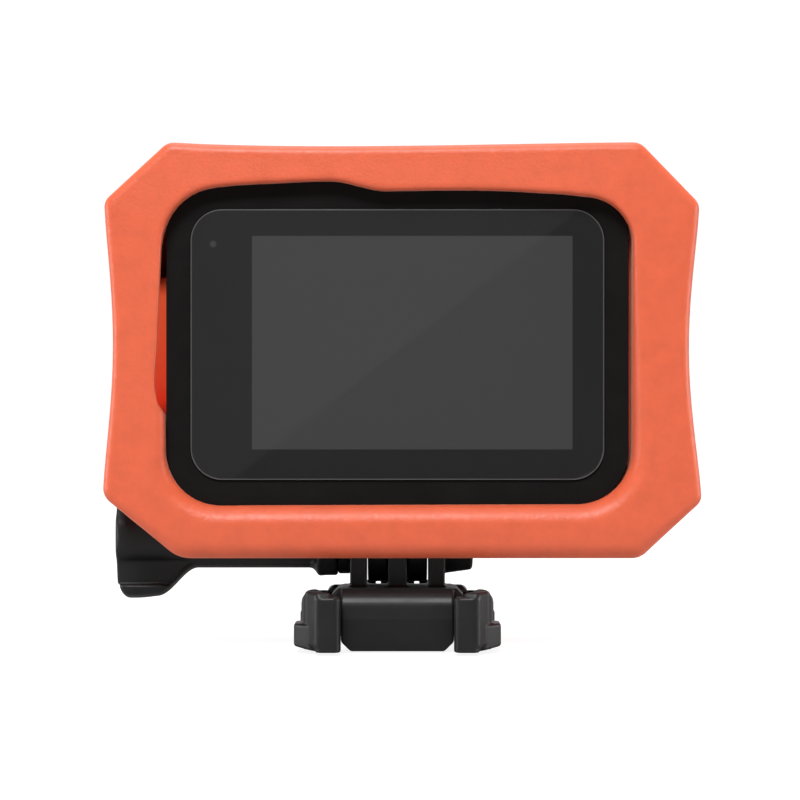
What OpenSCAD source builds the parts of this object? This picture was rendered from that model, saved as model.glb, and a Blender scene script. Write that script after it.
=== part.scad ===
// Action camera in a foam float, on a quick-release buckle with a long thumb screw.
// Millimetres, +Z up. The rear screen faces -Y and the lens faces +Y.
// The origin lies on the buckle's underside, straight below the middle of the pivot axis.

/* [Camera body] */
// Width of the camera body
body_w = 71.8; // [71:0.1:72.6]
// Height of the camera body
body_h = 50.8; // [50.4:0.1:51.2]
// Height of the camera body's underside above the buckle's underside
body_base_z = 22.6; // [22.5:0.1:23]
// Corner radius of the body, seen from behind
body_corner_r = 8.5; // [8:0.1:9]
// Thickness of the moulded walls
wall = 2; // [1.8:0.1:2.2]
// Y of the rear bezel's face
rear_y = -12.9; // [-13.2:0.1:-12.8]
// Y of the joint between rear bezel and body shell
split_y = -10.5; // [-10.6:0.1:-10.4]
// Y of the body shell's front face
front_y = 13.3; // [13.2:0.1:13.5]

/* [Rear screen] */
// Width of the cover glass
glass_w = 64.2; // [63:0.1:65]
// Height of the cover glass
glass_h = 42; // [41:0.1:42.6]
// Corner radius of the cover glass
glass_r = 4.9; // [4:0.1:6]
// Thickness of the cover glass
glass_t = 0.8; // [0.6:0.1:1]
// Width of the display's active area
active_w = 49.6; // [47:0.1:50.4]
// Height of the display's active area
active_h = 33; // [31:0.1:33.6]

/* [Lens] */
// X of the lens axis
lens_x = -15.6; // [-16:0.1:-15]
// Height of the lens axis above the middle of the body
lens_rise = 5.2; // [4.8:0.1:5.6]
// Side of the square lens cover
cover_side = 25.6; // [25:0.1:26]
// Y of the lens cover's front rim
cover_front_y = 20.3; // [20:0.1:20.6]

/* [Float] */
// Width of the foam float
float_w = 91.6; // [91:0.1:92.4]
// Height of the foam float
float_h = 63.7; // [63.5:0.1:64]
// Sideways shift of the float from the camera's middle
float_shift_x = 0.75; // [0.5:0.05:1]
// Height of the float's underside
float_base_z = 14.85; // [14.7:0.05:15]
// Y of the float's rear face
float_rear_y = -16.3; // [-16.8:0.1:-16]
// Y of the float's front face
float_front_y = 17.7; // [17.4:0.1:18]
// How far the float's side narrows at the middle, camera side left
float_waist_left = 1.3; // [0.5:0.1:2]
// How far the float's side narrows at the middle, camera side right
float_waist_right = 1.85; // [0.5:0.05:2]

/* [Pivot] */
// Height of the pivot axis
axis_z = 17.3; // [17.2:0.05:17.4]
// Radius of the prongs and fingers around the pivot
prong_r = 7.4; // [7.2:0.1:7.5]
// Thickness of each of the camera's fingers
finger_t = 3; // [2.9:0.05:3.05]
// Radius of the thumb screw's shaft
shaft_r = 2.5; // [2.4:0.05:2.6]
// Thread pitch of the thumb screw
thread_pitch = 0.8; // [0.7:0.1:1]

/* [Buckle] */
// Width across the buckle's rail edges
buckle_w = 32; // [31.6:0.1:32.4]
// Height of the deck that carries the prongs
deck_z = 9.45; // [9.3:0.05:9.5]
// Y of the buckle's front end
buckle_front_y = 22.5; // [21:0.5:24]
// Y of the rear face of the buckle's middle block
block_rear_y = -15.4; // [-15.6:0.1:-15]

/* [Hidden] */
$fn = 64;

gap = 0.05;              // sliding clearance between pieces that touch
running = 0.06;          // radial clearance of the shaft in its bores
body_z = body_base_z + body_h / 2;
body_top_z = body_base_z + body_h;
side_x = body_w / 2;
black = [0.09, 0.09, 0.09];
charcoal = [0.15, 0.15, 0.16];
steel = [0.72, 0.73, 0.75];

// Prongs and fingers along the pivot axis
prong_mid_half = 1.45;
finger_inner_x = prong_mid_half + 0.15;
finger_mid_x = finger_inner_x + finger_t / 2;
prong_outer_x = finger_inner_x + finger_t + 0.35;
prong_outer_t = 2.5;
prong_end_x = prong_outer_x + prong_outer_t;
bore_r = shaft_r + running;
hinge_r = finger_t / 2;
hinge_z = body_base_z + 1.3;
hinge_pin_r = 0.7;
recess_half_x = 20.4;
recess_half_y = 8;
recess_z = body_base_z + 3.3;
recess_wall = 1.5;

// Thumb screw stack, from the left prong outwards
washer_t = 2;
washer_r = 6.15;
washer_x = -prong_end_x - gap;
flange_r = 6.45;
flange_x = washer_x - washer_t - gap;
flange_t = 3.1;
neck_r = 5.1;
knob_r = 10.1;
knob_start_x = -32.6;
knob_end_x = -45.2;
nut_flats = 8;
nut_t = 4;
boss_r = 5.95;
boss_end_x = 12;
shaft_head_x = -30;
shaft_tip_x = boss_end_x + 0.4;

// Display and glass
glass_z = body_z - 0.4;
glass_seat = 0.4;
active_x = 2.3;
active_z = glass_z + 0.3;
panel_w = active_w + 1.4;
panel_h = active_h + 2.4;
light_x = -28.6;
light_z = glass_z + 15.6;
screw_half_x = 29.5;
screw_half_z = 18.4;
screw_depth = 2.6;
screw_head_r = 1.2;
screw_core_r = 0.65;

// Lens
lens_z = body_z + lens_rise;
collar_r = 11.4;
collar_bore_r = 10.3;
collar_end_y = front_y + 2.1;
barrel_r = 9.3;
barrel_bore_r = 7.8;
barrel_rear_y = -2;
barrel_front_y = 16.6;
cover_rear_y = front_y + 0.3;
cover_r = 5.4;
cover_glass_side = cover_side - 4.4;

// Front display
front_display_x = 15.4;
front_display_z = body_z + 4.4;
front_window_side = 26.4;
front_panel_side = 23.6;

// Side door
door_half_y = 8.8;
door_low_z = body_z - 20.9;
door_high_z = body_z + 20.9;
door_t = 1.4;
door_lip = 1.5;
door_plug_depth = 1.6;
door_r = 2.4;

// Buttons
shutter_x = -19.9;
shutter_w = 13;
shutter_d = 8;
shutter_rise = 1.2;
shutter_travel = 0.8;
mode_z = 47.5;
mode_h = 11;
mode_d = 5;
mode_rise = 0.6;
mode_travel = 0.5;
button_flange = 0.85;
button_gap = 0.1;

// Battery bay
battery_w = 37;
battery_h = 30;
battery_d = 12.4;
battery_x = 31.6 - battery_w;
battery_z = 34.2;
tray_wall = 0.9;
card_z = battery_z + battery_h + 1.75;

// Float
float_cut_left = 10.6;
float_cut_right = 9.4;
float_cut_z = 9.6;
float_waist_top = 0.65;
float_corner_r = 2.4;
cavity_gap = 0.05;
rear_open_w = 71.7;
rear_open_h = 48.6;
rear_open_z = 22.85 + rear_open_h / 2;
rear_open_x = 0.2;
rear_open_r = 8;
front_open_w = 66.8;
front_open_h = 46.4;
front_open_r = 8.4;
bump_x0 = -30;
bump_x1 = -3.4;
bump_rise = 1.5;
channel_half_y = 8.7;
channel_end_x = 13.4;
knob_room_r = 11.1;
knob_room_x = -34.6;
relief_depth = 1.25;
relief_low_z = 37.4;
relief_high_z = 66;
side_hole_h = 18.4;
side_hole_d = 13;
top_hole_w = 18;
top_hole_d = 13;

// Buckle
block_half_x = 8.6;
block_chamfer = 1.45;
plate_t = 4.5;
plate_half_x = buckle_w / 2;
pedestal_front_y = 12;
deck_half_x = 10.3;
deck_t = 1.9;
deck_rear_y = -9.2;
arm_pivot_x = 13;
arm_pivot_y = 9.4;
arm_knuckle_r = 2.1;
arm_knuckle_gap = 0.1;
arm_base_z = 0.3;
arm_top_z = 9.5;
arm_outer_x = 15;
arm_inner_x = 12.5;
arm_rear_y = -15.2;
grip_inner_x = 8.7;
grip_outer_x = 12.6;
grip_rear_y = -19.6;
grip_t = 3.2;
grip_base_z = 0.3;
grip_top_z = 8.8;
barb_rear_y = -15;
barb_front_y = -8.5;
barb_low_z = 1.25;

// ---- shared shapes ----

// Rectangle with true-arc corners, centred
module rounded_rect(w, h, r) {
    square([w, h - 2 * r], center = true);
    square([w - 2 * r, h], center = true);
    for (sx = [-1, 1], sz = [-1, 1])
        translate([sx * (w / 2 - r), sz * (h / 2 - r)]) circle(r);
}

// Slab whose outline lies in the XZ plane, from y0 to y1
module slab_y(y0, y1) {
    translate([0, y1, 0]) rotate([90, 0, 0]) linear_extrude(y1 - y0) children();
}

// Slab whose outline lies in the YZ plane (outline x is Y, outline y is Z), from x0 to x1
module slab_x(x0, x1) {
    translate([x0, 0, 0]) rotate([90, 0, 90]) linear_extrude(x1 - x0) children();
}

// Slab whose outline lies in the XY plane, from z0 to z1
module slab_z(z0, z1) {
    translate([0, 0, z0]) linear_extrude(z1 - z0) children();
}

// Box from its lowest corner to its highest corner
module box(low, high) {
    translate(low) cube(high - low);
}

// Cylinder along X on the pivot axis
module pivot_cylinder(x0, x1, r) {
    translate([x0, 0, axis_z]) rotate([0, 90, 0]) cylinder(h = x1 - x0, r = r);
}

// Cylinder along Y
module cylinder_y(x, z, y0, y1, r) {
    translate([x, y1, z]) rotate([90, 0, 0]) cylinder(h = y1 - y0, r = r);
}

// Outline of the body, grown by a margin
module body_outline(grow = 0) {
    translate([0, body_z])
        rounded_rect(body_w + 2 * grow, body_h + 2 * grow, body_corner_r + grow);
}

// Both sides of the buckle or camera
module both_sides() {
    children();
    mirror([1, 0, 0]) children();
}

// ---- float ----

// Arc that rounds the corner b of the path a-b-c
function corner(a, b, c, r, steps = 5) =
    let (u = (a - b) / norm(a - b), v = (c - b) / norm(c - b))
    let (half = acos(u * v) / 2, back = r / tan(half))
    let (middle = b + (u + v) / norm(u + v) * r / sin(half))
    let (from = b + u * back - middle, to = b + v * back - middle)
    let (turn = atan2(from[0] * to[1] - from[1] * to[0], from * to))
    [for (i = [0 : steps])
        let (t = turn * i / steps)
        middle + [from[0] * cos(t) - from[1] * sin(t), from[0] * sin(t) + from[1] * cos(t)]];

// Points along a side that bows inwards, without its two ends
function bow(a, b, depth, steps = 10) =
    let (along = (b - a) / norm(b - a), inward = [along[1], -along[0]])
    [for (i = [1 : steps - 1])
        let (t = i / steps, s = 2 * t - 1)
        a + (b - a) * (0.06 + 0.88 * t) + inward * depth * (1 - s * s)];

module float_outline() {
    l = float_shift_x - float_w / 2;
    r = float_shift_x + float_w / 2;
    b = float_base_z;
    t = float_base_z + float_h;
    v = [
        [l + float_cut_left, t], [r - float_cut_right, t],
        [r, t - float_cut_z], [r, b + float_cut_z],
        [r - float_cut_right, b], [l + float_cut_left, b],
        [l, b + float_cut_z], [l, t - float_cut_z]
    ];
    waist = [float_waist_top, 0, float_waist_right, 0, 0, 0, float_waist_left, 0];
    radius = [2.4, 2.4, 2.4, 2.4, 3.2, 5, 3.2, 2.4] * float_corner_r / 2.4;
    polygon([for (i = [0 : 7]) each concat(
        corner(v[(i + 7) % 8], v[i], v[(i + 1) % 8], radius[i]),
        waist[i] > 0 ? bow(v[i], v[(i + 1) % 8], waist[i]) : []
    )]);
}

// Raised stretch of the rear opening over the shutter button
module rear_bump() {
    top = rear_open_z + rear_open_h / 2;
    run = bump_x1 - bump_x0;
    polygon(concat(
        [[bump_x0, top - 2], [bump_x0, top]],
        [for (i = [0 : 10]) [bump_x0 + run * 0.72 * i / 10,
                             top + bump_rise * sin(90 * i / 10)]],
        [for (i = [1 : 8]) [bump_x0 + run * (0.72 + 0.28 * i / 8),
                            top + bump_rise * (1 + cos(180 * i / 8)) / 2]],
        [[bump_x1, top - 2]]
    ));
}

module float_frame() {
    color([0.92, 0.42, 0.29]) difference() {
        slab_y(float_rear_y, float_front_y) float_outline();
        // camera's seat
        slab_y(rear_y, front_y) body_outline(cavity_gap);
        // window round the screen
        slab_y(float_rear_y - 1, rear_y + 1) {
            translate([rear_open_x, rear_open_z])
                rounded_rect(rear_open_w, rear_open_h, rear_open_r);
            rear_bump();
        }
        // window round the lens and front display
        slab_y(front_y - 1, float_front_y + 1)
            translate([0, body_z]) rounded_rect(front_open_w, front_open_h, front_open_r);
        // channel for fingers, prongs and screw
        box([-60, -channel_half_y, 0], [channel_end_x, channel_half_y, body_base_z + 4]);
        // room for the knob
        pivot_cylinder(-60, knob_room_x, knob_room_r);
        // relief beside the mode button, open to the rear
        box([-side_x - relief_depth, float_rear_y - 1, relief_low_z],
            [-side_x + 2, side_hole_d / 2, relief_high_z]);
        // finger hole over the mode button
        translate([0, 0, mode_z]) slab_x(-60, -side_x + 1)
            rounded_rect(side_hole_d, side_hole_h, 6.4);
        // finger hole over the shutter button
        translate([shutter_x, 0, 0]) slab_z(body_top_z - 1, 90)
            rounded_rect(top_hole_w, top_hole_d, 6.4);
    }
}

// ---- camera casing ----

module screw_places() {
    for (sx = [-1, 1], sz = [-1, 1])
        translate([sx * screw_half_x, 0, glass_z + sz * screw_half_z]) children();
}

module rear_bezel() {
    color(black) difference() {
        slab_y(rear_y, split_y) body_outline();
        slab_y(rear_y - 1, rear_y + glass_seat)
            translate([0, glass_z]) rounded_rect(glass_w + 0.2, glass_h + 0.2, glass_r + 0.1);
        slab_y(rear_y, split_y + 1)
            translate([active_x, active_z]) square([panel_w + 0.2, panel_h + 0.2], center = true);
        cylinder_y(light_x, light_z, rear_y - 1, split_y + 1, 0.5);
        screw_places() {
            cylinder_y(0, 0, rear_y, split_y + 1, screw_core_r + gap);
            cylinder_y(0, 0, rear_y, rear_y + glass_seat + 1.1, screw_head_r + 0.1);
        }
    }
}

module case_screws() {
    head_y = rear_y + glass_seat + 0.1;
    color(steel) screw_places() difference() {
        union() {
            cylinder_y(0, 0, head_y, head_y + 0.95, screw_head_r);
            cylinder_y(0, 0, head_y + 0.9, split_y + screw_depth, screw_core_r);
        }
        cylinder_y(0, 0, head_y - 1, head_y + 0.6, 0.6, $fn = 6);
    }
}

module case_gasket() {
    middle = wall / 2;
    color([0.55, 0.56, 0.58]) slab_y(split_y, split_y + 0.7) difference() {
        body_outline(-middle + 0.4);
        body_outline(-middle - 0.4);
    }
}

module body_shell() {
    inner_y = front_y - wall;
    color(black) difference() {
        union() {
            difference() {
                slab_y(split_y, front_y) body_outline();
                slab_y(split_y - 1, inner_y) body_outline(-wall);
            }
            // tub over the folding fingers' recess
            box([-recess_half_x - recess_wall, -recess_half_y - recess_wall, body_base_z + 1],
                [recess_half_x + recess_wall, recess_half_y + recess_wall,
                 recess_z + recess_wall]);
            // bosses that take the case screws, each on a rib from the side wall
            screw_places() cylinder_y(0, 0, split_y, split_y + screw_depth + 0.5, 2.4);
            both_sides() for (s = [-1, 1])
                box([screw_half_x, split_y, glass_z + s * screw_half_z - 0.8],
                    [side_x - wall + 0.2, split_y + screw_depth + 0.5,
                     glass_z + s * screw_half_z + 0.8]);
        }
        screw_places() cylinder_y(0, 0, split_y - 1, split_y + screw_depth + 0.2, screw_core_r + gap);
        // gasket groove
        slab_y(split_y - 1, split_y + 0.7) difference() {
            body_outline(-wall / 2 + 0.4);
            body_outline(-wall / 2 - 0.4);
        }
        // recess of the folding fingers, and the bores of their hinge pins
        box([-recess_half_x, -recess_half_y, body_base_z - 1],
            [recess_half_x, recess_half_y, recess_z]);
        both_sides() cylinder_y(finger_mid_x, hinge_z, -recess_half_y - recess_wall - 1,
                                recess_half_y + recess_wall + 1, hinge_pin_r + gap);
        // lens bore
        cylinder_y(lens_x, lens_z, inner_y - 1, front_y + 1, collar_bore_r + 0.7);
        // front display
        translate([front_display_x, 0, front_display_z]) {
            slab_y(front_y - 0.6, front_y + 1)
                rounded_rect(front_window_side + 0.2, front_window_side + 0.2, 3.1);
            slab_y(inner_y - 1, front_y)
                square([front_panel_side + 0.2, front_panel_side + 0.2], center = true);
        }
        // front microphone
        cylinder_y(-30, body_z - 14, inner_y - 1, front_y + 1, 0.6);
        // door pocket and opening
        slab_x(side_x - door_t, side_x + 1) door_outline(gap);
        slab_x(side_x - wall - 1, side_x) door_outline(-door_lip);
        // button holes
        translate([shutter_x, 0, 0]) slab_z(body_top_z - wall - 1, body_top_z + 1)
            rounded_rect(shutter_w + 2 * button_gap, shutter_d + 2 * button_gap,
                         shutter_d / 2 + button_gap - 0.01);
        translate([0, 0, mode_z]) slab_x(-side_x - 1, -side_x + wall + 1)
            rounded_rect(mode_d + 2 * button_gap, mode_h + 2 * button_gap,
                         mode_d / 2 + button_gap - 0.01);
        // speaker slots in the rear part of the left side
        for (i = [-1 : 1])
            box([-side_x - 1, -6.4 + 1.8 * i, 33.5], [-side_x + wall + 1, -5.6 + 1.8 * i, 38.5]);
        // top microphone
        translate([8, 0, body_top_z - wall - 1]) cylinder(h = wall + 2, r = 0.6);
    }
}

// ---- screen ----

module screen_glass() {
    color([0.17, 0.17, 0.17]) slab_y(rear_y + glass_seat - glass_t, rear_y + glass_seat)
        translate([0, glass_z]) rounded_rect(glass_w, glass_h, glass_r);
}

module display_panel() {
    color([0.27, 0.27, 0.27]) slab_y(rear_y + glass_seat, rear_y + glass_seat + 1.7)
        translate([active_x, active_z]) square([panel_w, panel_h], center = true);
}

module status_light() {
    color([0.45, 0.45, 0.45])
        cylinder_y(light_x, light_z, rear_y + glass_seat, split_y, 0.45);
}

module front_window() {
    color([0.12, 0.12, 0.13]) translate([front_display_x, 0, front_display_z])
        slab_y(front_y - 0.6, front_y + 0.15)
            rounded_rect(front_window_side, front_window_side, 3);
}

module front_display() {
    color([0.2, 0.2, 0.21]) translate([front_display_x, 0, front_display_z])
        slab_y(front_y - 2.4, front_y - 0.6)
            square([front_panel_side, front_panel_side], center = true);
}

// ---- side door ----

module door_outline(grow = 0) {
    translate([0, (door_low_z + door_high_z) / 2])
        rounded_rect(2 * (door_half_y + grow), door_high_z - door_low_z + 2 * grow,
                     door_r + grow);
}

module side_door() {
    color(black) difference() {
        union() {
            intersection() {
                slab_x(side_x - door_t, side_x) door_outline();
                slab_y(-20, 20) body_outline();
            }
            slab_x(side_x - door_t - door_plug_depth, side_x - door_t + 0.1)
                door_outline(-door_lip - 0.5);
        }
        // seat of the latch slider
        box([side_x - 0.9, -4.5, door_high_z - 15.5], [side_x + 1, 4.5, door_high_z - 6.5]);
    }
}

module door_seal() {
    color([0.75, 0.36, 0.2]) slab_x(side_x - door_t - 1.1, side_x - door_t - 0.3) difference() {
        door_outline(-door_lip - 0.05);
        door_outline(-door_lip - 0.5);
    }
}

module door_latch() {
    color(charcoal) difference() {
        box([side_x - 0.9, -4.4, door_high_z - 12.9], [side_x, 4.4, door_high_z - 6.6]);
        for (i = [0 : 3])
            box([side_x - 0.3, -3.4, door_high_z - 12.1 + 1.4 * i],
                [side_x + 1, 3.4, door_high_z - 11.5 + 1.4 * i]);
    }
}

// ---- buttons ----

module shutter_button() {
    under_wall = body_top_z - wall - gap;
    color(charcoal) translate([shutter_x, 0, 0]) {
        slab_z(under_wall - button_flange, under_wall)
            rounded_rect(shutter_w + 1.8, shutter_d + 1.8, shutter_d / 2 + 0.8);
        slab_z(under_wall - 0.1, body_top_z + shutter_rise)
            rounded_rect(shutter_w, shutter_d, shutter_d / 2 - 0.01);
    }
}

module shutter_switch() {
    top = body_top_z - wall - gap - button_flange - shutter_travel - 0.05;
    color([0.6, 0.6, 0.55]) translate([shutter_x, 0, 0]) {
        slab_z(top - 2, top - 1.4) square([11, 8], center = true);
        slab_z(top - 1.5, top - 0.3) square([5, 5], center = true);
        translate([0, 0, top - 0.4]) cylinder(h = 0.4, r = 1.5);
    }
}

module mode_button() {
    inside = -side_x + wall + gap;
    color(charcoal) translate([0, 0, mode_z]) {
        slab_x(inside, inside + button_flange) rounded_rect(mode_d + 1.8, mode_h + 1.8, 3.2);
        slab_x(-side_x - mode_rise, inside + 0.1)
            rounded_rect(mode_d, mode_h, mode_d / 2 - 0.01);
    }
}

module mode_switch() {
    start = -side_x + wall + gap + button_flange + mode_travel + 0.05;
    color([0.6, 0.6, 0.55]) translate([0, 0, mode_z]) {
        slab_x(start + 1.3, start + 1.9) square([7, 9], center = true);
        slab_x(start + 0.3, start + 1.4) square([3.4, 3.4], center = true);
        slab_x(start, start + 0.4) circle(1.1);
    }
}

// ---- lens ----

module lens_collar() {
    color(charcoal) difference() {
        union() {
            cylinder_y(lens_x, lens_z, front_y - wall, front_y, collar_bore_r + 0.65);
            cylinder_y(lens_x, lens_z, front_y, collar_end_y, collar_r);
        }
        cylinder_y(lens_x, lens_z, front_y - wall - 1, collar_end_y + 1, collar_bore_r);
    }
}

module lens_cover_frame() {
    color(black) difference() {
        translate([lens_x, 0, lens_z]) slab_y(cover_rear_y, cover_front_y)
            rounded_rect(cover_side, cover_side, cover_r);
        cylinder_y(lens_x, lens_z, cover_rear_y - 1, collar_end_y + 0.2, collar_r + 0.12);
        cylinder_y(lens_x, lens_z, cover_rear_y - 1, cover_front_y + 1, barrel_r + 0.5);
        translate([lens_x, 0, lens_z]) slab_y(cover_front_y - 1.2, cover_front_y + 1)
            rounded_rect(cover_glass_side + 0.1, cover_glass_side + 0.1, 3.65);
    }
}

module lens_cover_glass() {
    color([0.1, 0.11, 0.13]) translate([lens_x, 0, lens_z])
        slab_y(cover_front_y - 1.2, cover_front_y - 0.2)
            rounded_rect(cover_glass_side, cover_glass_side, 3.6);
}

module lens_seal() {
    color([0.55, 0.56, 0.58]) translate([lens_x, front_y + 0.8, lens_z]) rotate([90, 0, 0])
        rotate_extrude() translate([(barrel_r + collar_bore_r) / 2, 0]) circle(0.46);
}

module lens_barrel() {
    color(charcoal) difference() {
        union() {
            cylinder_y(lens_x, lens_z, barrel_rear_y, front_y - wall - 0.4, 9);
            cylinder_y(lens_x, lens_z, front_y - wall - 0.5, barrel_front_y, barrel_r);
        }
        cylinder_y(lens_x, lens_z, 5, barrel_front_y + 1, barrel_bore_r);
        cylinder_y(lens_x, lens_z, barrel_rear_y - 1, 6, 5);
    }
}

// Domed front element: a slice of a ball on a short rim
module front_element() {
    dome_r = 11;
    rim_y = 14.2;
    color([0.05, 0.06, 0.09]) intersection() {
        cylinder_y(lens_x, lens_z, rim_y - 1.6, rim_y + 6, barrel_bore_r - gap);
        translate([lens_x, rim_y - 8, lens_z]) sphere(dome_r, $fn = 96);
    }
}

module lens_retainer() {
    color(charcoal) difference() {
        cylinder_y(lens_x, lens_z, 11, 12.5, barrel_bore_r - gap);
        cylinder_y(lens_x, lens_z, 10, 13, 5.6);
    }
}

module rear_element() {
    color([0.05, 0.06, 0.09]) cylinder_y(lens_x, lens_z, 1.5, 4, 5 - gap);
}

module image_sensor() {
    color([0.2, 0.25, 0.3]) translate([lens_x, 0, lens_z])
        slab_y(barrel_rear_y - 0.1, barrel_rear_y + 1.1) square([6.8, 5.4], center = true);
}

module sensor_board() {
    color([0.05, 0.3, 0.16]) translate([lens_x, 0, lens_z])
        slab_y(barrel_rear_y - 1.3, barrel_rear_y - 0.1) square([17.6, 17.6], center = true);
}

// ---- inside ----

module main_board() {
    color([0.05, 0.3, 0.16]) difference() {
        translate([0, 0, body_z + 3]) slab_y(-9, -7.8) rounded_rect(56, 38, 3);
        // notches that clear the screw bosses
        screw_places() cylinder_y(0, 0, -10, -7, 2.8);
    }
}

module processor() {
    color([0.1, 0.1, 0.1]) translate([lens_x, 0, body_z - 10])
        slab_y(-7.8, -6.7) square([12, 12], center = true);
}

module heat_spreader() {
    color([0.75, 0.76, 0.78]) translate([lens_x - 2.4, 0, body_z - 9])
        slab_y(-6.7, -5.9) rounded_rect(20, 16, 1.5);
}

module battery() {
    color([0.2, 0.4, 0.65]) translate([battery_x + battery_w / 2, 0, battery_z + battery_h / 2])
        slab_y(-battery_d / 2, battery_d / 2) rounded_rect(battery_w, battery_h, 1.5);
}

module battery_tray() {
    low = [battery_x - tray_wall - 0.1, -battery_d / 2 - 0.1 - tray_wall,
           battery_z - 0.1 - tray_wall];
    high = [32.4, battery_d / 2 + 0.1 + tray_wall, battery_z + battery_h + 0.1 + tray_wall];
    t = [tray_wall, tray_wall, tray_wall];
    color([0.25, 0.25, 0.26]) difference() {
        box(low, high);
        box(low + t, [high[0] + 1, high[1] - tray_wall, high[2] - tray_wall]);
    }
}

module memory_card() {
    color([0.3, 0.3, 0.32]) box([20.9, -5.5, card_z], [31.9, 5.5, card_z + 0.7]);
}

// Sheet-metal slot, open towards the side door
module card_slot() {
    color(steel) difference() {
        box([19.8, -6.4, card_z - 0.65], [32.2, 6.4, card_z + 1.35]);
        box([20.4, -5.7, card_z - 0.1], [33, 5.7, card_z + 0.85]);
    }
}

module usb_port() {
    color(steel) translate([0, 0, battery_z - 3]) difference() {
        slab_x(24.4, 31.8) rounded_rect(9, 3.2, 1.5);
        slab_x(25.4, 33) rounded_rect(8.2, 2.4, 1.15);
    }
}

module speaker() {
    color(charcoal) box([-33.4, -9.6, 33], [-29.4, -0.8, 39]);
}

module microphones() {
    color([0.8, 0.7, 0.4]) {
        box([-32, front_y - wall - 1.4, body_z - 15.5], [-28, front_y - wall, body_z - 12.5]);
        box([6, -2, body_top_z - wall - 1.3], [10, 2, body_top_z - wall]);
    }
}

// ---- folding fingers ----

module finger() {
    difference() {
        union() {
            pivot_cylinder(finger_inner_x, finger_inner_x + finger_t, prong_r);
            box([finger_inner_x, -prong_r, axis_z],
                [finger_inner_x + finger_t, prong_r, hinge_z]);
            cylinder_y(finger_mid_x, hinge_z, -prong_r, prong_r, hinge_r);
        }
        pivot_cylinder(0, 10, bore_r);
        cylinder_y(finger_mid_x, hinge_z, -10, 10, hinge_pin_r + gap);
    }
}

module finger_right() { color(black) finger(); }

module finger_left() { color(black) mirror([1, 0, 0]) finger(); }

module hinge_pins() {
    reach = recess_half_y + recess_wall - 0.1;
    color(steel) both_sides() cylinder_y(finger_mid_x, hinge_z, -reach, reach, hinge_pin_r);
}

// ---- buckle ----

module prong(x0, x1) {
    pivot_cylinder(x0, x1, prong_r);
    box([x0, -prong_r, deck_z - 1], [x1, prong_r, axis_z]);
}

// Middle block, seen from behind, with its lower corners cut
module block_outline() {
    h = block_half_x;
    c = block_chamfer;
    polygon([[-h + c, 0], [h - c, 0], [h, c], [h, deck_z], [-h, deck_z], [-h, c]]);
}

// Front plate of the slide, with cut front corners and seats for the arms' knuckles
module front_plate_outline() {
    h = plate_half_x;
    difference() {
        polygon([[-h, arm_pivot_y], [h, arm_pivot_y], [h, buckle_front_y - 5],
                 [h - 5, buckle_front_y], [5 - h, buckle_front_y], [-h, buckle_front_y - 5]]);
        for (s = [-1, 1]) translate([s * arm_pivot_x, arm_pivot_y])
            circle(arm_knuckle_r + arm_knuckle_gap);
    }
}

module buckle_body() {
    color(black) difference() {
        union() {
            slab_y(block_rear_y, pedestal_front_y) block_outline();
            // rounded lip at the top of the rear face
            box([-deck_half_x, deck_rear_y, deck_z - deck_t],
                [deck_half_x, -deck_rear_y, deck_z]);
            slab_z(0, plate_t) front_plate_outline();
            box([-block_half_x, pedestal_front_y - 1, 0],
                [block_half_x, buckle_front_y - 2, plate_t + 0.8]);
            prong(-prong_mid_half, prong_mid_half);
            prong(prong_outer_x, prong_end_x);
            prong(-prong_end_x, -prong_outer_x);
            pivot_cylinder(prong_end_x - 0.1, boss_end_x, boss_r);
        }
        pivot_cylinder(-20, 20, bore_r);
        // hexagonal pocket of the nut
        translate([boss_end_x - nut_t, 0, axis_z]) rotate([0, 90, 0])
            cylinder(h = nut_t + 1, r = nut_flats / 2 / cos(30), $fn = 6);
        // rounded upper edge of the rear face
        translate([-20, block_rear_y, deck_z]) rotate([0, 90, 0]) difference() {
            translate([-1, -1, 0]) cube([3, 3, 40]);
            translate([2, 2, 0]) cylinder(h = 40, r = 2);
        }
        // step back of the rear face's lower part
        box([-20, block_rear_y - 1, -1], [20, block_rear_y + 0.5, 5.05]);
        // hollow underside of the front plate
        both_sides() box([9.5, 13, -1], [13, 19, 2.6]);
        // bevel under the rail edges
        both_sides() slab_y(0, 40)
            polygon([[plate_half_x - 3.2, -1], [plate_half_x + 1, -1],
                     [plate_half_x + 1, barb_low_z + 0.3], [plate_half_x - 3.2, 0]]);
    }
}

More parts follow.
